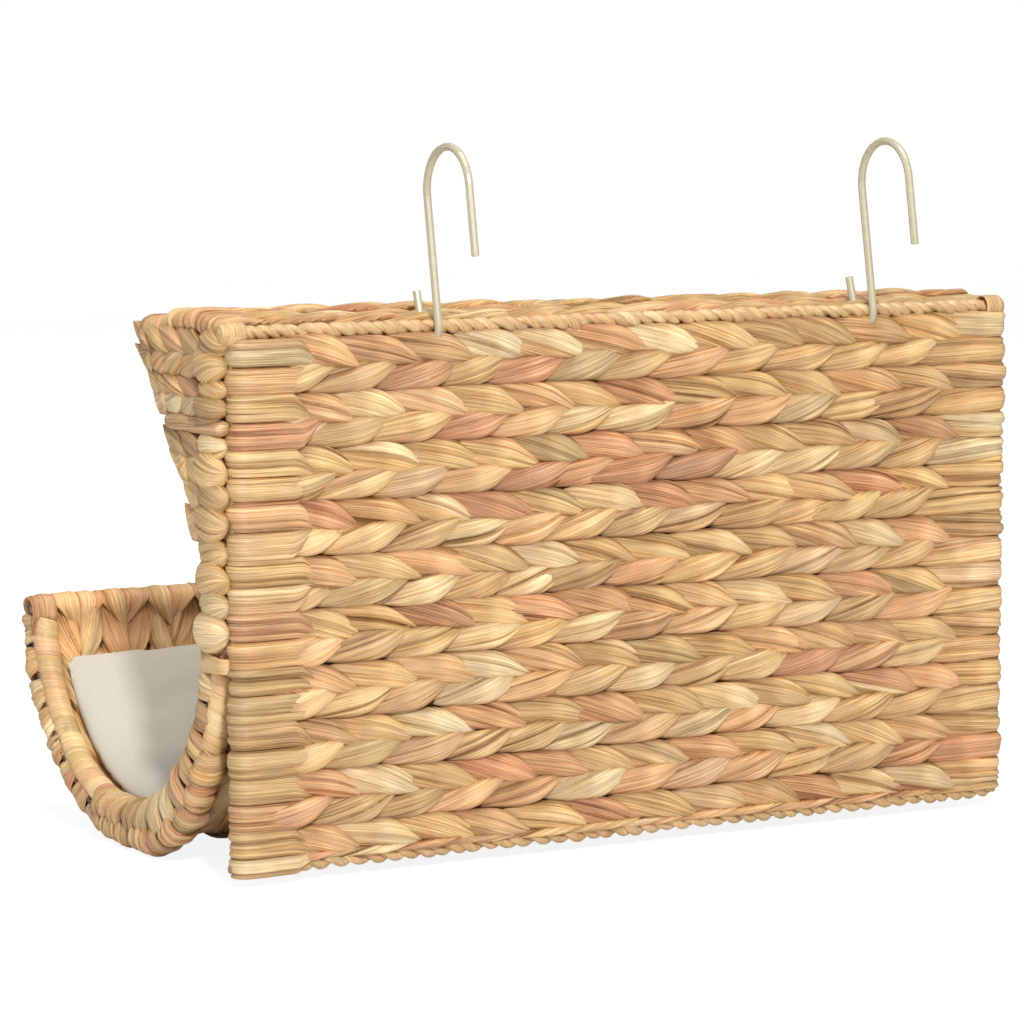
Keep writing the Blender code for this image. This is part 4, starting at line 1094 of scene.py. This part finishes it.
lashing_rng = np.random.default_rng(71)
for side, side_word in ((1, "left"), (-1, "right")):
    band_low, band_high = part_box(f"lashing_{side_word}")
    x_in, x_out = sorted((band_low.x, band_high.x), key=abs)
    x_in += side * 0.0008
    x_out -= side * 0.0010
    y_near = band_low.y + 0.0008
    y_far = BACK_Y - LASHING_REAR_ROOM
    z = (band_low.z + band_high.z) / 2 - 0.0008
    outline = []
    for corner_x, corner_y, first_angle in (
        (x_out, y_near, -90), (x_out, y_far, 0), (x_in, y_far, 90), (x_in, y_near, 180),
    ):
        middle_x = corner_x - LASHING_CORNER * (1 if corner_x > min(x_in, x_out) + 1e-6 else -1)
        middle_y = corner_y - LASHING_CORNER * (1 if corner_y > y_near + 1e-6 else -1)
        for step in range(7):
            degrees = first_angle + 15 * step
            angle = math.radians(degrees if side > 0 else 180 - degrees)
            x = middle_x + LASHING_CORNER * math.cos(angle)
            outline.append((x, middle_y + LASHING_CORNER * math.sin(angle)))
    outline.append(outline[0])
    outline = np.array(outline)
    runs = np.concatenate([[0], np.cumsum(np.linalg.norm(np.diff(outline, axis=0), axis=1))])
    fine = np.linspace(0, runs[-1], LASHING_STEPS)
    flat_path = np.column_stack([np.interp(fine, runs, outline[:, axis]) for axis in range(2)])
    wave = 0.0006 * np.sin(fine * 90)
    centers = np.column_stack([flat_path, z + wave])
    middle = flat_path.mean(axis=0)
    headings = np.gradient(centers, axis=0)
    normals = np.column_stack([headings[:, 1], -headings[:, 0], 0 * fine])
    if (normals[:, :2] * (flat_path - middle)).sum() < 0:
        normals = -normals
    tints = np.tile(pick_tints(lashing_rng, 1), (LASHING_STEPS, 1))
    width = LASHING_HALF_WIDTH * (1 + 0.12 * np.sin(fine * 170))
    depth = np.full(LASHING_STEPS, LASHING_DEPTH)
    band = swept_strand(centers, normals, width, depth, tints, lashing_rng, FINE, plump=2.8)
    lashing = weave_piece(f"lashing_{side_word}_strand", [band], wound)
    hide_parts(f"lashing_{side_word}")


# Cushion: a thin sewn pad in the U, finely ribbed off-white cloth over a thin filling. The cloth is blown
# up a little by simulation and stays clear of the weave.
PAD_VOXEL = 0.0045
PAD_FRAMES = 18
PAD_SWELL = 0.0035
PAD_CLEARANCE = 0.0072
PAD_STRETCH = 1.038
PAD_FRONT_RISE = 0.0060
PAD_PUSH_LIMIT = 0.004
RIB_PITCH = 0.00125
WAVES_PER_UNIT = 0.314

cushion_solid = bpy.data.objects["cushion"]


def applied(piece):
    """The piece's mesh with its modifiers applied."""
    bpy.context.view_layer.update()
    return bpy.data.meshes.new_from_object(piece.evaluated_get(bpy.context.evaluated_depsgraph_get()))


def vertex_places(mesh):
    places = np.empty(len(mesh.vertices) * 3)
    mesh.vertices.foreach_get("co", places)
    return places.reshape(-1, 3)


cushion = bpy.data.objects.new("cushion_pad", cushion_solid.data.copy())
scene.collection.objects.link(cushion)
remesh = cushion.modifiers.new("even faces", "REMESH")
remesh.mode = "VOXEL"
remesh.voxel_size = PAD_VOXEL
cushion.data = applied(cushion)
cushion.modifiers.clear()
rest_places = vertex_places(cushion.data) * np.array([PAD_STRETCH, 1, 1])
cloth = cushion.modifiers.new("blown up", "CLOTH")
cloth.settings.use_pressure = True
cloth.settings.uniform_pressure_force = 3
cloth.settings.effector_weights.gravity = 0
cloth.point_cache.frame_start = 1
cloth.point_cache.frame_end = PAD_FRAMES
for step in range(1, PAD_FRAMES + 1):
    scene.frame_set(step)
blown = applied(cushion)
moved = vertex_places(blown) - rest_places
reach = np.linalg.norm(moved, axis=1, keepdims=True)
rest_places = rest_places + moved * np.minimum(1, PAD_SWELL / np.maximum(reach, 1e-9))
cushion.modifiers.clear()
scene.frame_set(1)
section_places = np.column_stack([BACK_Y - rest_places[:, 1], rest_places[:, 2]])
gaps = np.linalg.norm(section_places[:, None, :] - sling_line[None, :, :], axis=2)
nearest = gaps.argmin(axis=1)
inward = np.column_stack([sling_runs[nearest, 1], -sling_runs[nearest, 0]])
clear = ((section_places - sling_line[nearest]) * inward).sum(1)
push = np.clip(PAD_CLEARANCE - clear, 0, PAD_PUSH_LIMIT)
rest_places[:, 1] -= push * inward[:, 0]
rest_places[:, 2] += push * inward[:, 1]
from_ends = smooth_step((0.205 - np.abs(rest_places[:, 0])) / 0.075)
front_edge = from_ends * smooth_step((rest_places[:, 2] - 0.045) / 0.04)
rest_places[:, 2] += PAD_FRONT_RISE * front_edge * (rest_places[:, 1] < -0.05)
cushion.data.vertices.foreach_set("co", rest_places.ravel())
smooth = cushion.modifiers.new("rounded", "SUBSURF")
smooth.levels = 1
smooth.render_levels = 1
cushion.data = applied(cushion)
cushion.modifiers.clear()
pad_places = vertex_places(cushion.data)
pad_section = np.column_stack([BACK_Y - pad_places[:, 1], pad_places[:, 2]])
pad_nearest = np.linalg.norm(pad_section[:, None, :] - sling_line[None, :, :], axis=2).argmin(axis=1)
beside = ((pad_section - sling_line[pad_nearest]) * sling_runs[pad_nearest]).sum(1)
pad_round = sling_marks[pad_nearest] + beside
pad_loops = np.empty(len(cushion.data.loops), dtype=np.int32)
cushion.data.loops.foreach_get("vertex_index", pad_loops)
while cushion.data.uv_layers:
    cushion.data.uv_layers.remove(cushion.data.uv_layers[0])
weave_map = cushion.data.uv_layers.new(name="weave")
weave_uv = np.column_stack([pad_places[:, 0], pad_round])[pad_loops]
weave_map.data.foreach_set("uv", weave_uv.astype(np.float32).ravel())
cushion.data.shade_smooth()


def two_tone(tree, value, dark, light, low=0.0, high=1.0):
    """A colour ramp from dark at low to light at high."""
    ramp = add_node(tree, "ValToRGB", {0: value})
    for element, position, color in zip(ramp.color_ramp.elements, (low, high), (dark, light)):
        element.position = position
        element.color = (*color, 1)
    return ramp


fabric, tree, shader = principled("ribbed pad cloth", 0.9, 0.25)
shader.inputs["Sheen Weight"].default_value = 0.25
cloth_map = add_node(tree, "UVMap", uv_map="weave").outputs[0]
rib_looks = {"Vector": cloth_map, "Scale": WAVES_PER_UNIT / RIB_PITCH, "Distortion": 0.6, "Detail": 1.0}
dot_looks = {"Vector": cloth_map, "Scale": WAVES_PER_UNIT / (RIB_PITCH * 0.8), "Distortion": 0.8}
ribs = add_node(tree, "TexWave", rib_looks, bands_direction="Y")
dots = add_node(tree, "TexWave", dot_looks, bands_direction="X")
thread_parts = {0: dots.outputs["Fac"], 1: 0.35, 2: ribs.outputs["Fac"]}
thread = add_node(tree, "Math", thread_parts, operation="MULTIPLY_ADD")
cloth_tint = two_tone(tree, thread.outputs[0], (0.465, 0.435, 0.37), (0.60, 0.57, 0.50))
cloth_bump = add_node(tree, "Bump", {"Strength": 0.5, "Distance": 0.0003, "Height": thread.outputs[0]})
tree.links.new(cloth_tint.outputs[0], shader.inputs["Base Color"])
tree.links.new(cloth_bump.outputs[0], shader.inputs["Normal"])
cushion.data.materials.clear()
cushion.data.materials.append(fabric)
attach(cushion, "cushion")
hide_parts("cushion")


# Hooks and frame rods: bent steel wire with a sand coloured satin coating. The hooks hang loose on the
# upper rope's rod, and the frame rods are almost wholly hidden in the weave.
def coated_wire(name, color, roughness):
    """Coated steel: a satin coat with a faint grain and slightly uneven tone."""
    material, tree, shader = principled(name, roughness, 0.5)
    place = add_node(tree, "TexCoord")
    grain = add_node(tree, "TexNoise", {"Vector": place.outputs["Object"], "Scale": 420, "Detail": 3})
    darker = [0.95 * value for value in color]
    lighter = [1.03 * value for value in color]
    tone = two_tone(tree, grain.outputs["Fac"], darker, lighter, 0.3, 0.7)
    relief = add_node(tree, "Bump", {"Strength": 0.06, "Distance": 0.0002, "Height": grain.outputs["Fac"]})
    tree.links.new(tone.outputs[0], shader.inputs["Base Color"])
    tree.links.new(relief.outputs[0], shader.inputs["Normal"])
    return material


hook_coat = coated_wire("sand coated hook wire", (0.47, 0.425, 0.31), 0.35)
rod_coat = coated_wire("coated frame rod", (0.33, 0.23, 0.12), 0.55)
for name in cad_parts:
    node = bpy.data.objects[name]
    if name.startswith("hook"):
        node.material_slots[0].material = hook_coat
    elif "_rod" in name or "_post" in name:
        node.material_slots[0].material = rod_coat


# Floor just under the lowest leaves: white to the camera but for the bed's soft shadow, and grey to what
# it lights.
FLOOR_COLOR = (0.86, 0.86, 0.86, 1)
FLOOR_DROP = 0.0058
FLOOR_HALF = 4
FLOOR_GLOW = 0.88
FLOOR_SHARE = (0.33, 0.33, 0.33, 1)
floor_mesh = bpy.data.meshes.new("floor")
floor_corners = [(x * FLOOR_HALF, y * FLOOR_HALF, 0) for x, y in ((-1, -1), (1, -1), (1, 1), (-1, 1))]
floor_mesh.from_pydata(floor_corners, [], [(0, 1, 2, 3)])
floor = bpy.data.objects.new("floor", floor_mesh)
floor.location.z = -FLOOR_DROP
scene.collection.objects.link(floor)
floor_paint, tree, plain = principled("floor", 1.0, 0.0)
plain.inputs["Base Color"].default_value = FLOOR_SHARE
shaded = add_node(tree, "BsdfDiffuse", {"Color": FLOOR_COLOR})
glow = add_node(tree, "Emission", {"Strength": FLOOR_GLOW})
seen = add_node(tree, "AddShader", {0: plain.outputs[0], 1: glow.outputs[0]})
rays = add_node(tree, "LightPath")
sides = {0: rays.outputs["Is Camera Ray"], 1: shaded.outputs[0], 2: seen.outputs[0]}
mixed = add_node(tree, "MixShader", sides)
tree.links.new(mixed.outputs[0], tree.nodes["Material Output"].inputs["Surface"])
floor_mesh.materials.append(floor_paint)
